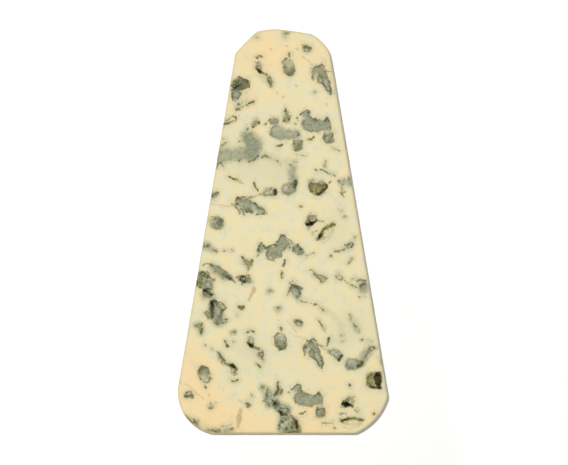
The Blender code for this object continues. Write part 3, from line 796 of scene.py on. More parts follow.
            [(-0.7, 0.1, 0.18), (0, 0, 0.24), (0.9, 0.1, 0.16)],
            [(-0.2, -0.6, 0.14), (0.5, -0.6, 0.15)],
        ],
        "olive": [[(-0.6, 0, 0.42), (0.6, -0.2, 0.42)]],
        "haze": [[(0, -0.1, 1)]],
    },
    "bent_spot": {
        "cloud": [[(-0.6, 0.2, 0.9), (0.3, 0.3, 1)], [(0.4, -1, 0.8), (0.5, -1.8, 0.6)]],
        "olive": [[(-0.6, 0.1, 0.54), (0.2, 0.2, 0.7), (0.4, -1.3, 0.5)]],
        "thread": [
            [(0.9, 1, 0.16), (0.6, 0.4, 0.12)], [(0.9, -0.9, 0.14), (0.6, -2, 0.26)], [(-1.2, 0, 0.16)],
        ],
        "haze": [[(0, 0, 1.4), (0.3, -1.6, 1)]],
    },
    "tick": {
        "thread": [[(-0.3, 0.8, 0.12), (0, 0, 0.18), (0.6, -0.7, 0.28)]],
        "olive": [[(-0.1, 0.3, 0.3), (0.5, -0.6, 0.42)]],
        "haze": [[(0, 0.2, 1)]],
    },
    "brown_spindle": {
        "tan": [[(-0.8, 1.2, 0.16), (-0.2, 0.2, 0.34), (0.6, -1.4, 0.46), (1, -2.1, 0.22)]],
        "thread": [[(-1, 1.5, 0.14), (-0.5, 0.6, 0.15), (0.1, -0.4, 0.11)]],
        "haze": [[(0.6, -0.8, 0.7)]],
    },
    "hairline": {
        "tan": [[(-1.5, 1.4, 0.13), (0, 0, 0.14), (1.4, -1.6, 0.12)]],
    },
    "grey_hair": {
        "thread": [[(-1.4, 0, 0.09), (0, 0.15, 0.1), (1.4, 0.6, 0.08)]],
    },
    "weak_streak": {
        "tan": [[(-1.4, 2, 0.3), (-1, 0.4, 0.36), (0.2, -1, 0.3)]],
        "olive": [[(-1.3, 2, 0.2), (-0.9, 0.8, 0.14)], [(-0.2, -0.5, 0.28)]],
        "cloud": [[(0.3, -1.4, 0.4), (1.1, -2.6, 0.4)]],
        "thread": [[(0, -1.1, 0.2), (0.7, -1.4, 0.16)], [(1.3, -2.6, 0.14)]],
        "haze": [[(-0.8, 1, 1), (0.6, -1.4, 1.2)], [(-4, -1, 0.8), (-3.4, -4, 0.8)]],
    },
    # This hollow's dark brown right side and bottom, its rust, are painted shade on its far walls over olive
    # mould.
    "brown_hollow": {
        "olive": [
            [(-1.7, 2, 0.44), (-1.8, -0.1, 0.5), (-2.1, -0.7, 0.4), (-1.1, -1.9, 0.36), (0.5, -1.8, 0.36),
             (1.4, -2.1, 0.36), (1.9, -1.9, 0.3), (1.4, -1.1, 0.34), (1.7, 0.5, 0.34), (1.8, 2.2, 0.32),
             (0.9, 2.4, 0.36), (-0.5, 2.3, 0.36), (-1.6, 2, 0.36)],
            [(-0.6, 1.4, 1.2), (-0.6, 0, 1.4), (-0.4, -0.8, 1.2)], [(0.9, 1.3, 0.9), (0.8, -0.6, 0.9)],
        ],
        "rust_and_shade": [
            [(1.1, 1.9, 0.8), (1.1, 0.6, 0.9), (1.1, -0.7, 0.8), (1.4, -1.9, 0.5)], [(0.8, 1.2, 0.8)],
            [(-1.4, -1.4, 0.14), (-0.9, -1.9, 0.24), (0.6, -1.8, 0.3), (1.9, -1.9, 0.26)],
        ],
        "haze": [[(-1.6, 1.2, 0.9)], [(-2, -1, 0.7)]],
        "hollow": [
            [(0.9, 0.3, 1.6, 2.2)], [(-0.8, 0.4, 1.3, 1.6)], [(0.2, -1.2, 1.3, 1.8)],
            [(0, 0.1, 2.1, 1.2)],
        ],
    },
    "long_hook": {
        "cloud": [[(-1.4, 2.3, 0.9)], [(0.4, 1.2, 1), (0.4, -0.8, 1.6), (0.8, -2.4, 1.3)], [(2, -0.6, 1)]],
        "olive": [[(-1.4, 2.4, 0.5)], [(2.9, 3.5, 0.34), (2.9, 1.6, 0.5), (1.9, 0.2, 0.4)], [(0, -2.6, 0.5)]],
        "body": [[(0.2, 0.6, 0.6), (0.2, -1, 1), (0.6, -2.2, 0.9)]],
        "thread": [
            [(-0.1, 1.6, 0.18), (-0.4, -0.4, 0.2), (-1.1, -1.6, 0.2), (-0.2, -2.1, 0.14)],
            [(2.8, 3.6, 0.22), (2.9, 1.6, 0.3), (2, 0.1, 0.2)], [(3.3, 1.3, 0.22)], [(1.6, -1.6, 0.3)],
            [(-1.6, 2.6, 0.14), (-1.2, 1.8, 0.12)],
        ],
        "pale": [[(0.5, 0.2, 0.3)], [(0.5, -1.6, 0.4)]],
        "haze": [[(-1, 2.2, 1.2), (0.6, -0.6, 2)], [(2.6, 2, 1.2)]],
    },
    "grey_clump": {
        "cloud": [[(-0.6, -0.6, 1.2), (1.6, -1.6, 1.5)], [(1.2, -3.2, 1.2)]],
        "body": [[(-1.4, 0, 0.9), (0.2, -1, 1.1), (1.6, -1.8, 1)]],
        "olive": [[(1.9, -2.2, 0.6)], [(0.4, -3.6, 0.6)]],
        "thread": [
            [(-1.6, 0.3, 0.75), (-1, -0.2, 0.4)], [(-1, 1.2, 0.24)],
            [(-0.5, -1.9, 0.4), (0.4, -2.5, 0.5), (1.3, -2.7, 0.34), (1.9, -3, 0.28)], [(0, -1.1, 0.2)],
            [(1.8, -0.9, 0.14), (2.4, -1.7, 0.14)],
        ],
        "pit": [[(-1.6, 0.3, 0.34)], [(-0.2, -2.1, 0.26), (0.5, -2.6, 0.24)]],
        "pale": [[(0.6, -0.6, 0.4)], [(1.3, -1.6, 0.34)]],
        "haze": [[(-0.6, -0.4, 2), (1, -1.8, 2.2)]],
        "hollow": [[(-1.1, 0, 1.1, 1.0)], [(0.8, -2, 1.2, 0.8)]],
    },
    # The rust along this mark's right and lower edges is painted shade on the far walls of its bubbles.
    "torn_foot": {
        "cloud": [
            [(-1.8, 1.2, 1.1), (0.2, 1.2, 1.4), (1.4, 0.6, 1.3)], [(-1.8, -1.2, 1.3), (0.6, -1, 1.5)],
        ],
        "body": [[(-0.6, 1.9, 0.6)], [(1.8, -1.4, 0.7)]],
        "olive": [
            [(0.7, 2.4, 0.4), (1.8, 1.3, 0.5), (2.6, -0.4, 0.7), (3, -2.2, 0.9)],
            [(-1, -2.1, 0.5), (0.4, -2.2, 0.6), (2, -2.2, 0.6)], [(-1.6, 0.4, 0.4)], [(0.8, -0.6, 0.6)],
        ],
        "pale": [[(-0.4, 0.6, 0.44)], [(-1.5, -0.4, 0.44)], [(0.4, 0.9, 0.36), (0.5, 0.3, 0.3)]],
        "rust_and_shade": [
            [(1.6, 1.3, 0.24), (2, 0.9, 0.4), (2.4, -0.2, 0.34), (2.9, -2, 0.3)],
            [(0.2, -2.3, 0.16), (1, -2.3, 0.2), (2.2, -2.3, 0.3)],
        ],
        "thread": [
            [(-2.5, -0.5, 0.4)], [(-0.6, -1.3, 0.42)], [(-2.8, -1.3, 0.12)], [(-2.2, 1.9, 0.14)],
            [(0.2, -2.2, 0.16)], [(1, 0.9, 0.14), (1.4, 0, 0.13)], [(1.8, 1.2, 0.2), (2.2, 0.6, 0.2)],
            [(0.3, 0.1, 0.2)], [(1.1, -0.9, 0.24), (1.4, -1.3, 0.14)], [(-0.7, 1.2, 0.2)],
            [(-1.5, 0.6, 0.16)],
        ],
        "haze": [[(-1, 0, 2.4), (1.6, 0, 2.4)]],
        "hollow": [[(-0.8, 0, 1.6, 0.7)], [(1.4, -0.6, 1.5, 0.7)]],
    },
    "tailed_ring": {
        "thread": [
            [(0.5, 0.7, 0.14), (-0.5, 0.5, 0.2), (-0.6, -0.4, 0.14), (0.3, -0.5, 0.14)],
            [(0.9, 0.3, 0.24)], [(-0.9, -0.8, 0.16), (-2, -2.6, 0.13)], [(-2.4, -3.2, 0.14)],
        ],
        "haze": [[(0, 0, 1.2), (-1.6, -1.8, 1), (-3, -3.6, 1)]],
    },
    "foot_strip": {
        "cloud": [
            [(-10.3, 3.4, 0.6), (-8.2, 1.9, 0.6), (-6.8, 1, 0.5)], [(-3.9, -0.3, 0.5), (-0.8, -0.5, 0.6)],
            [(1.2, -0.2, 0.5), (2.8, -0.1, 0.4)],
        ],
        "olive": [[(-9.9, 3.1, 0.3), (-7.8, 1.8, 0.3)], [(-3.4, -0.3, 0.3), (-1, -0.6, 0.4)]],
        "thread": [
            [(-2.6, -0.4, 0.2)], [(2.6, 0, 0.2), (3.2, 0.2, 0.14)], [(-1.6, -0.6, 0.14)],
            [(-7.9, 3, 0.12), (-7.6, 2.1, 0.2), (-7, 1.4, 0.16)], [(0.8, -0.4, 0.16)],
        ],
        "haze": [
            [(-9.6, 2.8, 1), (-5, 0.3, 1.3), (-1, -0.4, 1.1), (3, 0, 0.8)],
            [(-9.6, 3, 0.8), (-5, 0.2, 0.8)],
        ],
    },
}
print("marks in all:", len(MARKS))

# %% [markdown]
# ## Where the marks lie on the cut face
# Each place names a mark, its middle in millimetres and its turn in degrees. Three groups of marks
# come back elsewhere on the face, shifted or turned, as veins do where one crack runs through the
# paste twice. Such a group is placed once and then laid again about a second anchor.

# %% Groups that come twice
SHIFTED = [
    ("teardrop", 1.8, 46.2, 0), ("nip", 6.7, 51.8, 0), ("streak", -6.4, 45.4, 0),
    ("dabs", -6.6, 49.4, 0), ("soft_dot", 1, 56.1, 0), ("beard", 11, 44, 0),
    ("spindle", 0.9, 33, 0), ("right_patch", 9.5, 30, 0), ("dash", 8, 26.3, 0),
]
HALF_TURNED = [place for place in SHIFTED if place[0] in ("teardrop", "nip", "streak", "dabs", "soft_dot")]
TURNED = [
    ("plume", 2.2, 12.5, 0), ("sliver", -7.7, 12.5, 0), ("seed", -3.2, 11, 0), ("dot", 5.1, 7, 0),
    ("black_pit", 8, 2.6, 0), ("crescent", 12, 0, 0),
]


def turned(x, y, degrees):
    """A place turned about the origin."""
    angle = math.radians(degrees)
    return x * math.cos(angle) - y * math.sin(angle), x * math.sin(angle) + y * math.cos(angle)


def again(group, anchor, new_anchor, turn):
    """The group laid once more, so that its anchor comes to the new one, turned about it."""
    laid_again = []
    for name, x, y, old_turn in group:
        dx, dy = turned(x - anchor[0], y - anchor[1], turn)
        laid_again.append((name, new_anchor[0] + dx, new_anchor[1] + dy, old_turn + turn))
    return laid_again


twice = SHIFTED + again(SHIFTED, (0, 0), (-2.35, -77.85), 0)
twice += again(HALF_TURNED, (1.8, 46.2), (-22.3, -40.3), 187.5)
twice += TURNED + again(TURNED, (5.1, 7), (19, -43.7), -41)
print(len(twice), "marks lie in groups")

# %% Single marks and specks
ONCE = [
    ("gash", -12, 40.7, 0), ("smile", -11, 35.7, 0), ("outlined", -14.8, 31.3, 0),
    ("wisp", -7.8, 30.4, 0), ("left_patch", 0.5, 28, 0), ("dash", -0.9, 24.4, 0),
    ("smoke", -9, 23, 0), ("curl", -17.8, 18.8, 0), ("moustache", -4.7, 21.2, 0),
    ("hook", 12.8, 16.6, 0), ("olive_hollow", 10, 12.2, 0), ("speckle", 17, 14, 0),
    ("thorn", -13.8, 14.8, 0), ("rim_spot", -19.2, 10.2, 0), ("bowl", -18.7, 2.3, 0),
    ("leaf", -9.2, 7.2, 0), ("heart", -1.5, -5.2, 0), ("comma", 0.4, -8.9, 0),
    ("feather", 18, -4.5, 0), ("smear", 19.2, -8.4, 0), ("edge_tuft", -21.2, -4.3, 0),
    ("olive_drop", -10, -8.8, 0), ("band", -17.5, -11.3, 0), ("thicket", -22, -14, 0),
    ("knot", -21.1, -17.5, 0), ("trunk", -19, -22.5, 0), ("ember", -11.3, -13.5, 0),
    ("stain", -8.7, -17.6, 0), ("soft_spot", -3.6, -17, 0), ("bean", -0.2, -12.4, 0),
    ("claw", 3.5, -17, 0), ("chain", 9.8, -12.7, 0), ("long_tail", 15.8, -13, 0),
    ("right_tuft", 22.6, -15.2, 0), ("twin", 9.5, -20.8, 0), ("crumb_row", -11.8, -21.5, 0),
    ("bent_spot", -23.7, -27, 0), ("tick", -16, -32, 0), ("tick", -7, -37.9, 0),
    ("brown_spindle", 11.2, -26.6, 0), ("hairline", 2.7, -27.2, -8), ("weak_streak", 20.4, -25.8, 0),
    ("tailed_ring", 25.2, -33.5, 0), ("brown_hollow", 26, -42.5, 0),
    ("long_hook", -4.2, -46.6, 0), ("grey_clump", -0.6, -49.2, 0), ("torn_foot", 1.6, -54.8, 0),
    ("crumb_row", -9.8, -49.1, -16), ("long_stain", -12.3, -53, 0), ("foot_strip", -17.3, -56.2, 0),
    ("hairline", -26, -44.4, 8), ("hairline", -24.1, -46.1, 6),
    ("grey_hair", 7.7, -6.8, 8), ("grey_hair", 5, 21.3, -20), ("grey_hair", 14.8, 23.2, -35),
    ("hairline", -18.4, 7.6, 38), ("hairline", -15.4, 7, 50), ("grey_hair", 12.7, -54.7, -12),
    ("hairline", 7, 48.5, 12), ("grey_hair", -15.8, -55.4, 0), ("hairline", 5.3, -30.3, 30),
]
SPECKS = {
    "dot": [(9.4, 17.5), (13.7, -7), (22.7, -30.8), (26, -51.8), (-16.2, -31.4)],
    "faint_dot": [
        (16.6, 5.6), (17.5, 4), (-16.7, -5.6), (-14.5, -5.3), (-13, -23.8), (25, -31), (16.8, -31.3),
        (16.5, -29.6), (-14, -31.3), (-22, -32.5), (-20.2, -33.3), (-8.8, -46.6), (14.7, -55.7),
        (5, -56), (-7.4, 55), (9.2, 39.4), (3.6, 30.5), (-16.8, 26),
    ],
    "tan_dot": [
        (4.1, 51.8), (6, 49.2), (8.2, 47.2), (3.8, 41.2), (-1.6, 39.2), (0.2, 38), (-28.8, -42.8),
        (-29.2, -40), (-12, -48.1), (12.5, 36), (-3.2, 51.5), (21, -50), (10.5, -51.2), (-19, -48.6),
    ],
    "soft_spot": [(-13.9, -28.6), (-24.6, -54)],
}
on_face = twice + ONCE + [(name, x, y, 0) for name, spots in SPECKS.items() for x, y in spots]
print(len(on_face), "marks on the cut face")

# %% [markdown]
# ## Marks on the walls and the underside
# The same paste runs through the whole wedge, so the walls and the underside carry the same marks,
# as large as on the cut face: from specks of less than one square millimetre to patches of about
# 43. A seeded draw picks and turns them, one to each cell of a loose grid, which spreads them
# without a pattern. The opened bubbles in the walls come first, at the very places where the solid
# has its hollows.

# %% Places on the walls and the underside
WALL_POCKETS = ["bowl", "teardrop", "nip", "leaf", "claw", "knot", "plume", "seed"]
WALL_SEED = 11
WALL_STEP = (8, 15)
WALL_MARGIN = 6
SCATTER_SEED = 5
CELL = 7.9
WALL_START = 3.0
STRAY = 2.4
CLEAR_OF_POCKETS = 6
HALF_TURN = 180
LOOSE = [
    "beard", "outlined", "wisp", "spindle", "right_patch", "left_patch", "dash", "smile", "gash", "curl",
    "moustache", "hook", "thorn", "sliver", "rim_spot", "heart", "comma", "feather", "edge_tuft",
    "olive_drop", "band", "thicket", "trunk", "ember", "stain", "soft_spot", "chain", "long_tail", "twin",
    "dot", "faint_dot", "crumb_row", "bent_spot", "tick", "brown_spindle", "hairline", "long_hook",
    "dabs", "soft_dot", "streak", "grey_hair", "weak_streak", "tailed_ring", "leaf", "teardrop", "claw",
]


def wall_pockets():
    """Where the solid's wall pockets are, by the draw that placed them there."""
    chance = random.Random(WALL_SEED)
    found = []
    distance = chance.uniform(*WALL_STEP)
    while distance < ROUND - WALL_STEP[0]:
        height = chance.uniform(WALL_MARGIN, THICKNESS - WALL_MARGIN)
        name = chance.choice(WALL_POCKETS)
        turn = math.degrees(chance.uniform(0, math.tau))
        down = THICKNESS - height - EDGE_ROUNDING + EDGE_ARC
        found.append((name, distance, down, turn + HALF_TURN))
        distance += chance.uniform(*WALL_STEP)
    return found


def scattered(width, height, start, taken, chance):
    """One loose mark to each cell of a grid, clear of taken places and from start to the far edge."""
    found = []
    names = []
    columns, rows = round(width / CELL), round((height - start) / CELL)
    for column in range(columns):
        for row in range(rows):
            if not names:
                names = chance.sample(LOOSE, len(LOOSE))
            x = (column + 0.5) * width / columns + chance.uniform(-STRAY, STRAY)
            y = start + (row + 0.5) * (height - start) / rows + chance.uniform(-STRAY, STRAY)
            turn = chance.uniform(0, 2 * HALF_TURN)
            if all(math.hypot(x - other[1], y - other[2]) > CLEAR_OF_POCKETS for other in taken):
                found.append((names.pop(), x, y, turn))
    return found


chance = random.Random(SCATTER_SEED)
wall_holes = wall_pockets()
on_wall = scattered(ROUND, DOWN, WALL_START, wall_holes, chance)
on_underside = [
    (name, x + LOW[0], y + LOW[1], turn)
    for name, x, y, turn in scattered(HIGH[0] - LOW[0], HIGH[1] - LOW[1], 0, [], chance)
]
print(len(wall_holes), "opened bubbles and", len(on_wall), "loose marks on the walls,",
      len(on_underside), "marks under the cheese")

# %% [markdown]
# ## From flat marks to dabs in space
# A mark is laid on the wedge by turning it, moving it to its place and carrying every dab onto the
# surface there: straight onto the cut face or the underside, or rolled round with the wall. After
# that a dab is a small ball. A ball near an edge reaches round it by itself, so the mould runs over
# the edge as a real vein does.

# %% Lay the marks
def laid(places, surface, open_hollows):
    """Chains of balls as (layer, points, radii, depths) for the marks at these places."""
    chains = []
    for name, x, y, turn in places:
        for layer, lines in MARKS[name].items():
            if layer == "hollow" and not open_hollows:
                continue
            for line in lines:
                flat = [turned(dab[0], dab[1], turn) for dab in line]
                points = surface(np.array([(x + dx, y + dy) for dx, dy in flat]))
                chains.append((layer, points, [dab[2] for dab in line], [dab[-1] for dab in line]))
    return chains


def on_level(height):
    """A function that lifts flat places to one height."""
    return lambda places: np.column_stack([places, np.full(len(places), height)])


chains = laid(on_face, on_level(THICKNESS), True)
chains += laid(wall_holes, lambda places: rolled(places)[0], True)
chains += laid(on_wall, lambda places: rolled(places)[0], False)
chains += laid(on_underside, on_level(0), False)
print(len(chains), "chains of dabs")

# %% [markdown]
# ## How far is a point from the mould?
# For every point of the skin and every layer, the lesson measures the distance to the nearest
# chain, less the chain's radius there. It is below zero inside a mark and above zero outside. Such
# a distance can be stored on a coarse mesh and still give a sharp edge, because the material can
# add its own fine noise to it before it decides where the mould ends. Before measuring, each point
# is moved a little by noise, which makes every drawn line wriggle as a crack does. Blender's noise
# vectors start from the clock unless they are given a seed, and a seed keeps the wriggles the same
# in each run.

# %% Bend the marks
WARP_SIZES = ((1.5, 0.3), (0.55, 0.11))
WARP_SEED = 7
noise.seed_set(WARP_SEED)


def bent(points):
    """The points, each moved a little by noise, so that what is measured from them wriggles."""
    moved = points.copy()
    for size, amount in WARP_SIZES:
        moved += amount * np.array([noise.noise_vector(Vector(point)) for point in points / size])
    return moved


print("the marks wriggle by up to", round(sum(amount for _, amount in WARP_SIZES), 2), "mm")

# %% Distances
LAYERS = ["body", "cloud", "shade", "thread", "pit", "olive", "rust_and_shade", "tan", "pale", "haze"]
FAR = 2.4


def to_chain(points, centres, radii):
    """Distance of points from a chain of balls whose radius changes evenly from ball to ball."""
    if len(centres) == 1:
        return np.linalg.norm(points - centres[0], axis=1) - radii[0]
    nearest = np.full(len(points), np.inf)
    for start, end, radius, end_radius in zip(centres, centres[1:], radii, radii[1:]):
        step = end - start
        share = np.clip((points - start) @ step / (step @ step), 0, 1)
        gap = np.linalg.norm(points - start - share[:, None] * step, axis=1)
        nearest = np.minimum(nearest, gap - radius - share * (end_radius - radius))
    return nearest


def near_chain(points, centres, radii):
    """Which points may lie within FAR of a chain."""
    reach = max(radii) + FAR
    low, high = np.min(centres, 0) - reach, np.max(centres, 0) + reach
    near = np.flatnonzero((points[:, 1] > low[1]) & (points[:, 1] < high[1]))
    inside = ((points[near] > low) & (points[near] < high)).all(1)
    return near[inside]


def distances(points, layers):
    """For each layer, how far each point is from it, up to FAR."""
    found = {layer: np.full(len(points), FAR) for layer in layers}
    for layer, centres, radii, _ in chains:
        if layer in layers:
            near = near_chain(points, centres, radii)
            found[layer][near] = np.minimum(found[layer][near], to_chain(points[near], centres, radii))
    return found


print("the distances go up to", FAR, "mm")

# %% [markdown]
# ## A skin with fine points where they are needed
# The pattern needs points about 0.2 mm apart along its threads and edges, but plain paste doesn't.
# One way would be to subdivide everything, which is slow. Here a triangular lattice is drawn at the
# finest spacing. All of it stays at the edges of the marks, every second point close to them, and
# every fourth or eighth in plain paste. Blender's Delaunay function then joins whatever points are
# left into well-shaped triangles.

# %% Lattice and patches
FINEST = 0.19
ROW = math.sqrt(3) / 2
SPACINGS = (8, 4, 2)
WIDEST_ON_FACE, WIDEST_ON_WALL, WIDEST_UNDER = 4, 8, 8
REACH_ON_FACE, REACH_ON_WALL, REACH_UNDER = (0.25, 0.75), (0.12, 0.4), (0, 0.3)
EDGE_GAP = 0.11
INSIDE_ONLY, TOUCHING = 1, 1e-5
EDGED = ["body", "thread", "pit", "olive", "rust_and_shade", "tan", "pale"]


def lattice(width, height):
    """Points of a triangular lattice at the finest spacing, and the widest spacing each fits."""
    rows, columns = int(height / (FINEST * ROW)) + 1, int(width / FINEST) + 1
    row, column = np.mgrid[0:rows, 0:columns]
    slant = column - row // 2
    fits = np.select([(row | slant) % step == 0 for step in SPACINGS], SPACINGS, 1)
    places = np.column_stack([((column + row % 2 / 2) * FINEST).ravel(), (row * ROW * FINEST).ravel()])
    return places, fits.ravel()


def thinned(places, fits, points, widest, reach):
    """The places that the pattern needs: all at its edges, every second near it, few elsewhere."""
    edges = distances(bent(points), EDGED)
    edge = np.min([np.abs(edge) for edge in edges.values()], 0)
    return places[(fits >= widest) | (fits >= 2) & (edge < reach[1]) | (edge < reach[0])]


def joined(places, border):
    """Triangles over the places inside a closed border, which comes first."""
    all_places = [Vector(place) for place in np.vstack([border, places])]
    edge = list(range(len(border)))
    made = delaunay_2d_cdt(all_places, [], [edge], INSIDE_ONLY, TOUCHING)
    return np.array(made[0]), np.array(made[2])


print("the finest spacing is", FINEST, "mm")

# %% [markdown]
# ## The three patches of the skin
# The cut face and the underside are flat patches inside the outline, and the wall is the unrolled
# strip. All three share the outline's steps along their borders, so that they meet point to point.
# Because every side of the outline bulges outwards, a point is inside when it is on the inner side
# of every stretch, which makes the test one line of numpy.

# %% Flat patches
def inset(places):
    """How far inside the outline each place lies."""
    out = np.roll(corner_points, -1, 0) - corner_points
    out = np.column_stack([-out[:, 1], out[:, 0]]) / np.hypot(*out.T)[:, None]
    beyond = places @ out.T - (corner_points * out).sum(1)
    return -beyond.max(1)


def flat_patch(height, widest, reach):
    """Points and triangles of the cut face or the underside, seen from above."""
    border = ring - ring_out * EDGE_ROUNDING
    places, fits = lattice(HIGH[0] - LOW[0], HIGH[1] - LOW[1])
    places += LOW[:2]
    inside = inset(places) > EDGE_ROUNDING + EDGE_GAP
    places, fits = places[inside], fits[inside]
    places = thinned(places, fits, on_level(height)(places), widest, reach)
    places, triangles = joined(places, border)
    return on_level(height)(places), triangles


face_points, face_triangles = flat_patch(THICKNESS, WIDEST_ON_FACE, REACH_ON_FACE)
under_points, under_triangles = flat_patch(0, WIDEST_UNDER, REACH_UNDER)
print("cut face:", len(face_points), "points; underside:", len(under_points))

# %% Wall patch
def wall_patch(widest, reach):
    """Points, outward directions and triangles of the wall, from the unrolled strip."""
    seam = np.arange(1, round(DOWN / RING_STEP)) * DOWN / round(DOWN / RING_STEP)
    steps = np.arange(len(ring)) * RING_STEP
    border = np.vstack([
        np.column_stack([steps, steps * 0]), np.column_stack([seam * 0 + ROUND, seam]),
        np.column_stack([ROUND - steps, steps * 0 + DOWN]), np.column_stack([seam * 0, seam[::-1]]),
    ])
    border = np.insert(border, len(steps), (ROUND, 0), 0)
    border = np.insert(border, 2 * len(steps) + len(seam) + 1, (0, DOWN), 0)
    places, fits = lattice(ROUND, DOWN)
    inside = (places > EDGE_GAP).all(1) & (places < (ROUND - EDGE_GAP, DOWN - EDGE_GAP)).all(1)
    places, fits = places[inside], fits[inside]
    over_edge = (places[:, 1] < EDGE_ARC) | (places[:, 1] > DOWN - EDGE_ARC)
    fits = np.where(over_edge & (fits >= 2), widest, fits)
    places = thinned(places, fits, rolled(places)[0], widest, reach)
    places, triangles = joined(places, border)
    return *rolled(places), triangles


wall_points, wall_out, wall_triangles = wall_patch(WIDEST_ON_WALL, REACH_ON_WALL)
print("wall:", len(wall_points), "points")

# %% [markdown]
# ## Bubbles and relief
# The knife drags soft paste, so the face isn't quite flat, and mould is drier than paste and sinks a
# little. An opened bubble is a real hole: its points are pushed in along the outward direction by
# the bubble's depth. A round profile with a steep rim and an uneven floor looks torn and not
# drilled. All of it goes inwards, so that the wedge keeps its size and rests on a flat underside.

# %% Relief
SWELL = 0.05
SWELL_SIZE = 5.0
DRAG = 0.02
DRAG_SIZE = (0.9, 2.6, 0.9)
BODY_SINK, THREAD_SINK, PALE_RISE = 0.09, 0.1, 0.06
SOFT_EDGE, THREAD_EDGE = 0.5, 0.3
RIM_SIZE, RIM_SHIFT, RIM_STEEPNESS = 0.9, 0.22, 3
FLOOR_SIZE, FLOOR_SHARE, SINK_SHARE = 0.5, 0.3, 0.6
OPENED = 0.02


def noise_at(points, size):
    """Smooth noise from -1 to 1 at points, with lumps of about the given size."""
    return np.array([noise.noise(Vector(point)) for point in points / size])


def inside_of(distance, soft):
    """1 inside a layer, 0 outside, with an edge that is soft over this many millimetres."""
    share = np.clip(0.5 - distance / soft, 0, 1)
    return share * share * (3 - 2 * share)


def hollow_depth(points):
    """How deep the opened bubbles are at each point."""
    depth = np.zeros(len(points))
    for layer, centres, radii, depths in chains:
        if layer == "hollow":
            near = near_chain(points, centres, radii)
            rim = noise_at(points[near], RIM_SIZE)
            gap = np.linalg.norm(points[near] - centres[0], axis=1) / radii[0] + RIM_SHIFT * rim
            bowl = depths[0] * np.sqrt(np.clip(1 - np.clip(gap, 0, 1) ** RIM_STEEPNESS, 0, 1))
            depth[near] = np.maximum(depth[near], bowl)
    deep = np.flatnonzero(depth > OPENED)
    depth[deep] *= 1 + FLOOR_SHARE * noise_at(points[deep], FLOOR_SIZE)
    return depth


points = np.vstack([face_points, wall_points, under_points])
up, down = np.array([0, 0, 1.0]), np.array([0, 0, -1.0])
out = np.vstack([np.tile(up, (len(face_points), 1)), wall_out, np.tile(down, (len(under_points), 1))])
layers = distances(bent(points), LAYERS)
sink = BODY_SINK * inside_of(layers["body"], SOFT_EDGE)
sink += THREAD_SINK * inside_of(layers["thread"], THREAD_EDGE)
sink -= PALE_RISE * inside_of(layers["pale"], SOFT_EDGE)
sink *= 1 + SINK_SHARE * noise_at(points, FLOOR_SIZE)
sink += SWELL * (1 + noise_at(points, SWELL_SIZE))
sink += DRAG * (1 + noise_at(points, np.array(DRAG_SIZE)))
sink += hollow_depth(bent(points))
sink = np.clip(sink, 0, None) * np.clip(points[:, 2] / EDGE_ROUNDING, 0, 1)
print("the deepest bubble is", round(float(sink.max()), 1), "mm deep")

# %% [markdown]
# ## The broad tints of the paste
# Over the whole face the paste drifts from a warm, peachy cream at both ends to a paler, greener
# one in the middle, where the mould has spread under the surface. A few wide, soft patches of
# warmth are enough to say so, each with a middle, a width and an amount: above zero for peach, and
# below it for green.

# %% Warmth
WARM_PATCHES = [
    (-5, 52, 10, 0.7), (11, 49, 6, 0.4), (-9, 38, 4, 0.35), (0, 17, 7, -0.55), (-12, 20, 8, -0.5),
    (15, 4, 7, -0.35), (15, -4, 6, -0.3), (2, 2, 9, 0.1), (-26, -38, 9, 0.6), (-22, -53, 9, 0.8),
    (10, -55, 9, 0.7), (19, -28, 8, -0.5), (-12, -33, 7, -0.45), (0, -24, 8, 0.05), (16, -44, 6, 0.35),
    (-8, -56, 8, 0.6), (26, -52, 5, 0.5), (-5, -36, 5, -0.2),
]


def warmth(points):
    """The sum of the warm and cool patches at each point."""
    total = np.zeros(len(points))
    for x, y, width, amount in WARM_PATCHES:
        gap = np.hypot(points[:, 0] - x, points[:, 1] - y) / width
        total += amount * np.exp(-gap * gap)
    return total


layers["warmth"] = warmth(points)
layers["near"] = np.min([layers[layer] for layer in ("body", "thread", "olive", "pit")], 0)
least, most = layers["warmth"].min(), layers["warmth"].max()
print("warmth goes from", round(float(least), 2), "to", round(float(most), 2))

# %% [markdown]
# ## Make the mesh
# The three patches become one mesh, their shared borders are welded, and each layer's distances are
# stored on its points under the layer's name, where the material finds them. The underside's
# triangles are turned over so that they face down.

# %% Cheese mesh
WELD = 1e-6

starts = np.cumsum([0, len(face_points), len(wall_points)])
triangles = np.vstack([face_triangles, wall_triangles + starts[1], under_triangles[:, ::-1] + starts[2]])
skin = bpy.data.meshes.new("cheese")
skin.from_pydata((points - out * sink[:, None]) * MM, [], triangles.tolist())
for layer, values in layers.items():
    skin.attributes.new(layer, "FLOAT", "POINT").data.foreach_set("value", values)
weld = bmesh.new()
weld.from_mesh(skin)
bmesh.ops.remove_doubles(weld, verts=weld.verts, dist=WELD)
weld.to_mesh(skin)
print("volume", round(weld.calc_volume(signed=True) / MM ** 3 / 1000, 1), "cm3,",
      "open edges", sum(edge.is_boundary for edge in weld.edges))
weld.free()
skin.shade_smooth()
cheese = bpy.data.objects.new("cheese", skin)
bpy.context.scene.collection.objects.link(cheese)
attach(cheese, "root")
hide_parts("cheese_wedge")
print(len(skin.vertices), "points and", len(skin.polygons), "triangles")

# %% [markdown]
# ## A short way to write a material
# Wiring nodes by hand makes sums hard to read. The small class below wraps a node's output, so that
# a sum written in Python adds the Math nodes that work it out. Every other node comes from one
# method of the finish, which sets the node's settings first and then its values and links.

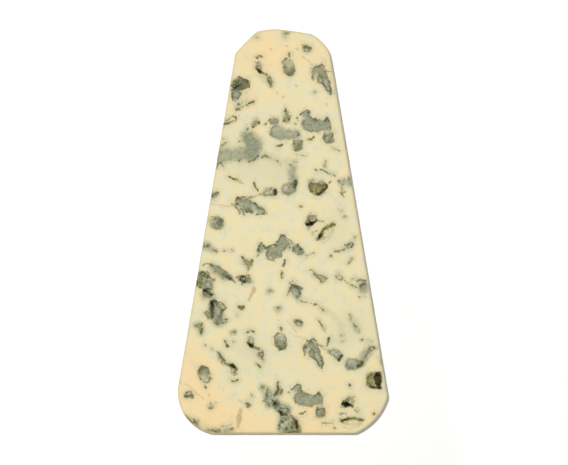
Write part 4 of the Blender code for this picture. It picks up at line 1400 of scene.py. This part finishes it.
# %% Readings and finishes
class Reading:
    """A number that changes over the surface, ready to be used in a sum."""

    def __init__(self, finish, socket):
        self.finish, self.socket = finish, socket

    def sum_with(self, operation, first, second):
        return self.finish.node("Math", {"operation": operation}, {0: first, 1: second})

    def __add__(self, other):
        return self.sum_with("ADD", self, other)

    def __radd__(self, other):
        return self.sum_with("ADD", other, self)

    def __sub__(self, other):
        return self.sum_with("SUBTRACT", self, other)

    def __rsub__(self, other):
        return self.sum_with("SUBTRACT", other, self)

    def __mul__(self, other):
        return self.sum_with("MULTIPLY", self, other)

    def __rmul__(self, other):
        return self.sum_with("MULTIPLY", other, self)

    def rising(self, low, high):
        """0 where the reading is at low, 1 at high, and smooth between them."""
        return self.finish.node(
            "MapRange", {"interpolation_type": "SMOOTHSTEP"},
            {"Value": self, "From Min": low, "From Max": high},
        )


class Finish:
    """A material, and the one way in which its nodes are added."""

    def __init__(self, name):
        self.material = bpy.data.materials.new(name)
        self.material.use_nodes = True
        self.tree = self.material.node_tree
        self.shader = self.tree.nodes["Principled BSDF"]

    def node(self, kind, settings=None, values=None, output=0):
        made = self.tree.nodes.new("ShaderNode" + kind)
        for setting, value in (settings or {}).items():
            setattr(made, setting, value)
        for socket, value in (values or {}).items():
            self.feed(made.inputs[socket], value)
        return Reading(self, made.outputs[output])

    def feed(self, socket, value):
        if isinstance(value, Reading):
            self.tree.links.new(value.socket, socket)
        else:
            socket.default_value = value


def colour(red, green, blue):
    """A colour as a paint chart gives it, 0 to 255, turned into the light that it reflects."""
    chart = [value / 255 for value in (red, green, blue)]
    return (*[v / 12.92 if v <= 0.04045 else ((v + 0.055) / 1.055) ** 2.4 for v in chart], 1)


paste = Finish("cheese")
print("the finish starts with", len(paste.tree.nodes), "nodes")

# %% [markdown]
# ## Grain
# Noise of five sizes does all the roughening: wide drifts in the paste, blotches of about three
# millimetres, lumps of about one that bend the edges of the mould, crumbs of half of one that break
# them up, and a fine tooth on the paste. They are read in millimetres from the object's own
# coordinates, so the pattern stays on the cheese wherever it goes. Two of them are read a few
# centimetres away, so that they don't follow the others.

# %% Grain of the paste
DRIFT_SIZE, BLOTCH_SIZE, LUMP_SIZE, CRUMB_SIZE, TOOTH_SIZE = 11, 3.2, 1.3, 0.45, 0.2
AWAY = (31.0, 17.0, 9.0)


def grain(place, size, detail, roughness=0.5):
    """Noise about zero, with lumps of a size in millimetres."""
    return paste.node(
        "TexNoise", {"noise_dimensions": "3D"},
        {"Vector": place, "Scale": 1 / size, "Detail": detail, "Roughness": roughness},
    ) - 0.5


object_place = paste.node("TexCoord", output="Object")
place = paste.node("VectorMath", {"operation": "SCALE"}, {0: object_place, "Scale": 1 / MM})
elsewhere = paste.node("VectorMath", {"operation": "ADD"}, {0: place, 1: AWAY})
drift = grain(place, DRIFT_SIZE, 2)
blotches = grain(elsewhere, BLOTCH_SIZE, 3)
lumps = grain(place, LUMP_SIZE, 3, 0.6)
crumbs = grain(elsewhere, CRUMB_SIZE, 2, 0.6)
tooth = grain(place, TOOTH_SIZE, 1)
print("grain added:", len(paste.tree.nodes), "nodes")

# %% [markdown]
# ## Where each layer ends
# The stored distance plus some grain gives a ragged edge, and turning that into 0 or 1 over a short
# stretch gives a crisp one. Cloud and haze get a long stretch instead, so they fade. A body of mould
# does both: crisp along one part of its edge, where a crack ended, and soft along another, where it
# grew into the paste.

# %% Cover of each layer
LUMPS_BEND = 1.6


def stored(layer):
    """What the skin's points hold under a layer's name."""
    return paste.node("Attribute", {"attribute_name": layer}, output="Fac")


def ragged_distance(layer, ragged):
    """A layer's distance, made uneven by this many millimetres of grain."""
    return stored(layer) + lumps * ragged * LUMPS_BEND + crumbs * ragged


def cover(layer, ragged, soft):
    """1 where a layer lies, 0 where it doesn't, over an edge that is soft by so many millimetres."""
    return ragged_distance(layer, ragged).rising(soft, -soft)


body_depth = ragged_distance("body", 0.8)
crisp, melted = body_depth.rising(0.2, -0.16), body_depth.rising(0.6, -0.5)
melting = blotches.rising(-0.06, 0.06)
body = crisp + (melted - crisp) * melting
cloud = cover("cloud", 0.6, 0.9)
# The shade layer is painted shade on the lower and right sides of marks and bubbles, partly darker mould.
shade = cover("shade", 0.6, 0.5)
thread = cover("thread", 0.5, 0.18)
# The pit layer is painted shade, nearly black, deep in the opened bubbles over dark mould.
pit = cover("pit", 0.3, 0.2)
olive = cover("olive", 0.6, 0.3)
# The rust layer is painted shade on the lower and right walls of opened bubbles, in the brown of old mould.
rust_and_shade = cover("rust_and_shade", 0.4, 0.22)
tan = cover("tan", 0.5, 0.32)
pale = cover("pale", 0.6, 0.25)
haze = cover("haze", 1.2, 0.8)
print("covers added:", len(paste.tree.nodes), "nodes")

# %% [markdown]
# Round each mark the mould has sent out a halo under the surface, and crumbs of it were dragged
# along by the knife. Both follow from the distance to the nearest mark of any kind.

# %% Halo and dragged crumbs
near = ragged_distance("near", 1.0)
halo = near.rising(1.9, -0.2) * (0.7 + blotches * 2.4)
dragged = (crumbs + lumps * 0.5).rising(0.1, 0.2) * near.rising(1.8, 0.4)
flecks = (crumbs * 0.8 + blotches * 0.4).rising(0.12, 0.24)
clouding = (blotches + lumps * 0.5).rising(0.02, 0.22)
print("halo added:", len(paste.tree.nodes), "nodes")

# %% [markdown]
# ## Colours
# The paste is a warm cream, never lemon yellow. Over it go the layers, the faint ones first and the
# dark threads last, each as a Mix of colours by its cover. The number after a cover is its
# strength, and a sum with lumps there makes the strength uneven. Mould isn't one grey: crumbs of it
# are darker and lighter, and a broken, dark fringe follows parts of the inner edge of each body.

# %% Paint
CREAM, PALE_CREAM = colour(236, 221, 172), colour(229, 222, 185)
PEACH, SAGE = colour(247, 218, 163), colour(212, 208, 170)
STAIN, FLECK, HAZE = colour(198, 174, 118), colour(205, 185, 134), colour(196, 190, 146)
GREY, GREY_DARK, GREY_LIGHT = colour(158, 161, 134), colour(124, 128, 100), colour(184, 186, 160)
OLIVE, OLIVE_DARK, MOSS = colour(144, 142, 82), colour(94, 90, 42), colour(158, 153, 106)
# The rust, shade and pit colours paint shade: brown on the far walls of bubbles, dark olive-grey on the lower
# and right sides of marks, and nearly black deep in the bubbles.
RUST_AND_SHADE, SHOW_THROUGH, CRUMB = colour(58, 44, 18), colour(196, 197, 172), colour(112, 114, 78)
SHADE, THREAD, PIT = colour(86, 88, 56), colour(72, 74, 42), colour(28, 26, 12)
FACTOR, FIRST_COLOUR, SECOND_COLOUR, MIXED_COLOUR = 0, 6, 7, 2


def over(below, above, share):
    """One colour laid over another where the share is 1."""
    sockets = {FACTOR: share, FIRST_COLOUR: below, SECOND_COLOUR: above}
    return paste.node("Mix", {"data_type": "RGBA"}, sockets, output=MIXED_COLOUR)


warm = stored("warmth") + drift * 0.5
paint = over(CREAM, PALE_CREAM, blotches.rising(-0.14, 0.16))
paint = over(paint, PEACH, warm.rising(0.0, 1.0))
paint = over(paint, SAGE, warm.rising(-0.05, -0.9))
paint = over(paint, SAGE, clouding * 0.25)
paint = over(paint, FLECK, flecks * 0.6)
paint = over(paint, HAZE, halo * 0.42)
paint = over(paint, HAZE, haze * (0.4 + blotches * 0.8))
paint = over(paint, STAIN, tan * (0.8 + lumps * 1.6))
print("paste painted:", len(paste.tree.nodes), "nodes")

# %% Paint the mould
mottle = (crumbs * 0.9 + lumps * 0.9 + tooth * 0.2).rising(-0.34, 0.34)
mould = over(GREY_DARK, GREY, mottle.rising(0.0, 0.5))
mould = over(mould, GREY_LIGHT, mottle.rising(0.5, 1.0))
mossy = (lumps + drift * 0.6).rising(-0.02, 0.16) * body_depth.rising(-1.1, -0.1)
mould = over(mould, MOSS, mossy * 0.7)
mould = over(mould, MOSS, warm.rising(0.1, 1.0) * 0.6)
fringe = body_depth.rising(-0.5, -0.1) * (lumps + crumbs * 0.7).rising(0.04, 0.16) * (1 - melting * 0.8)
old = over(OLIVE_DARK, OLIVE, mottle.rising(0.0, 0.6))
paint = over(paint, mould, cloud * 0.86)
paint = over(paint, mould, body * 0.96)
paint = over(paint, SHADE, fringe * body * 0.6)
paint = over(paint, CRUMB, dragged * 0.6)
paint = over(paint, old, olive * 0.8)
# Painted shade: the rust layer darkens the lower and right walls of opened bubbles to the brown of old mould
# in shadow.
paint = over(paint, RUST_AND_SHADE, rust_and_shade * (0.95 + lumps * 0.2))
paint = over(paint, SHOW_THROUGH, pale * 0.75)
# Painted shade on the lower and right sides of marks and bubbles, partly darker mould.
paint = over(paint, SHADE, shade * (0.55 + lumps * 0.6))
paint = over(paint, THREAD, thread * (0.74 + lumps * 1.4))
# Painted shade, nearly black, deep in the opened bubbles over dark mould.
paint = over(paint, PIT, pit)
paste.feed(paste.shader.inputs["Base Color"], paint)
print("mould painted:", len(paste.tree.nodes), "nodes")

# %% [markdown]
# ## Sheen and fine relief
# Cut paste is moist: half matt, with a tooth too fine to model. Mould is drier and duller, and the
# floor of a bubble, painted nearly black as shade over dark mould where the pits lie, is damp. The
# roughness follows that, and a Bump node adds the tooth, the crumbs of the mould and the groove of
# each thread. A little light also soaks into the paste.

# %% Sheen, bump and glow
ROUGHNESS, DRIER, DAMPER, UNEVEN = 0.5, 0.22, 0.1, 0.1
TOOTH_HEIGHT, CRUMB_HEIGHT, MOULD_HEIGHT, GROOVE = 0.035, 0.05, 0.22, 0.1
SHEEN = 0.2
SOAK, SOAK_DEPTH, SOAK_BY_COLOUR = 0.12, 0.7, (1.0, 0.6, 0.3)

roughness = ROUGHNESS + body * DRIER - pit * DAMPER + drift * UNEVEN
paste.feed(paste.shader.inputs["Roughness"], roughness)
height = tooth * TOOTH_HEIGHT + crumbs * CRUMB_HEIGHT + crumbs * body * MOULD_HEIGHT - thread * GROOVE
bump = paste.node("Bump", {}, {"Strength": 1.0, "Distance": MM, "Height": height})
paste.feed(paste.shader.inputs["Normal"], bump)
paste.feed(paste.shader.inputs["Specular IOR Level"], SHEEN)
paste.feed(paste.shader.inputs["Subsurface Weight"], SOAK)
paste.feed(paste.shader.inputs["Subsurface Radius"], SOAK_BY_COLOUR)
paste.feed(paste.shader.inputs["Subsurface Scale"], SOAK_DEPTH * MM)
skin.materials.append(paste.material)
print("the finish has", len(paste.tree.nodes), "nodes")

# %% [markdown]
# ## Floor and light
# The cheese lies on a plain white table. The main lamp hangs beside the camera, a little to the
# upper left, so that the shadow is a thin line of even width to the right and below. The even light
# of a white room fills the rest, which keeps the walls readable from the side.

# %% Table and lamps
TABLE_SIZE = 3.0
TABLE_GAP = 0.1
TABLE_ROUGHNESS, TABLE_GLOW = 0.9, 0.14
WHITE = (1, 1, 1, 1)
ROOM_LIGHT = 0.17
OVERHEAD_X, OVERHEAD_Y, OVERHEAD_SIZE, OVERHEAD_POWER = -0.0105, 0.0115, 0.004, 2.72
SIDE_PLACE, SIDE_SIZE, SIDE_POWER = (-0.7, 0.6, 0.9), 0.3, 1.5


def lamp(name, place, size, power):
    """A round, soft lamp that points at the cheese."""
    made = bpy.data.objects.new(name, bpy.data.lights.new(name, "AREA"))
    made.data.shape, made.data.size, made.data.energy = "DISK", size, power
    made.location = place
    made.rotation_euler = Vector(place).to_track_quat("Z", "Y").to_euler()
    bpy.context.scene.collection.objects.link(made)


half = TABLE_SIZE / 2
table_mesh = bpy.data.meshes.new("table")
table_corners = [(-half, -half, 0), (half, -half, 0), (half, half, 0), (-half, half, 0)]
table_mesh.from_pydata(table_corners, [], [(0, 1, 2, 3)])
table = bpy.data.objects.new("table", table_mesh)
table.location.z = -TABLE_GAP * MM
bpy.context.scene.collection.objects.link(table)
white = Finish("table")
white.feed(white.shader.inputs["Base Color"], WHITE)
white.feed(white.shader.inputs["Roughness"], TABLE_ROUGHNESS)
white.feed(white.shader.inputs["Emission Color"], WHITE)
white.feed(white.shader.inputs["Emission Strength"], TABLE_GLOW)
table_mesh.materials.append(white.material)

overhead_place = (OVERHEAD_X, OVERHEAD_Y, HIGH[2] * MM + camera_height)
lamp("overhead lamp", overhead_place, OVERHEAD_SIZE, OVERHEAD_POWER)
lamp("side lamp", SIDE_PLACE, SIDE_SIZE, SIDE_POWER)
room = bpy.data.worlds.new("room")
room.use_nodes = True
background = room.node_tree.nodes["Background"]
background.inputs["Strength"].default_value = ROOM_LIGHT
background.inputs["Color"].default_value = WHITE
bpy.context.scene.world = room
print("two lamps, and a room light of", ROOM_LIGHT)
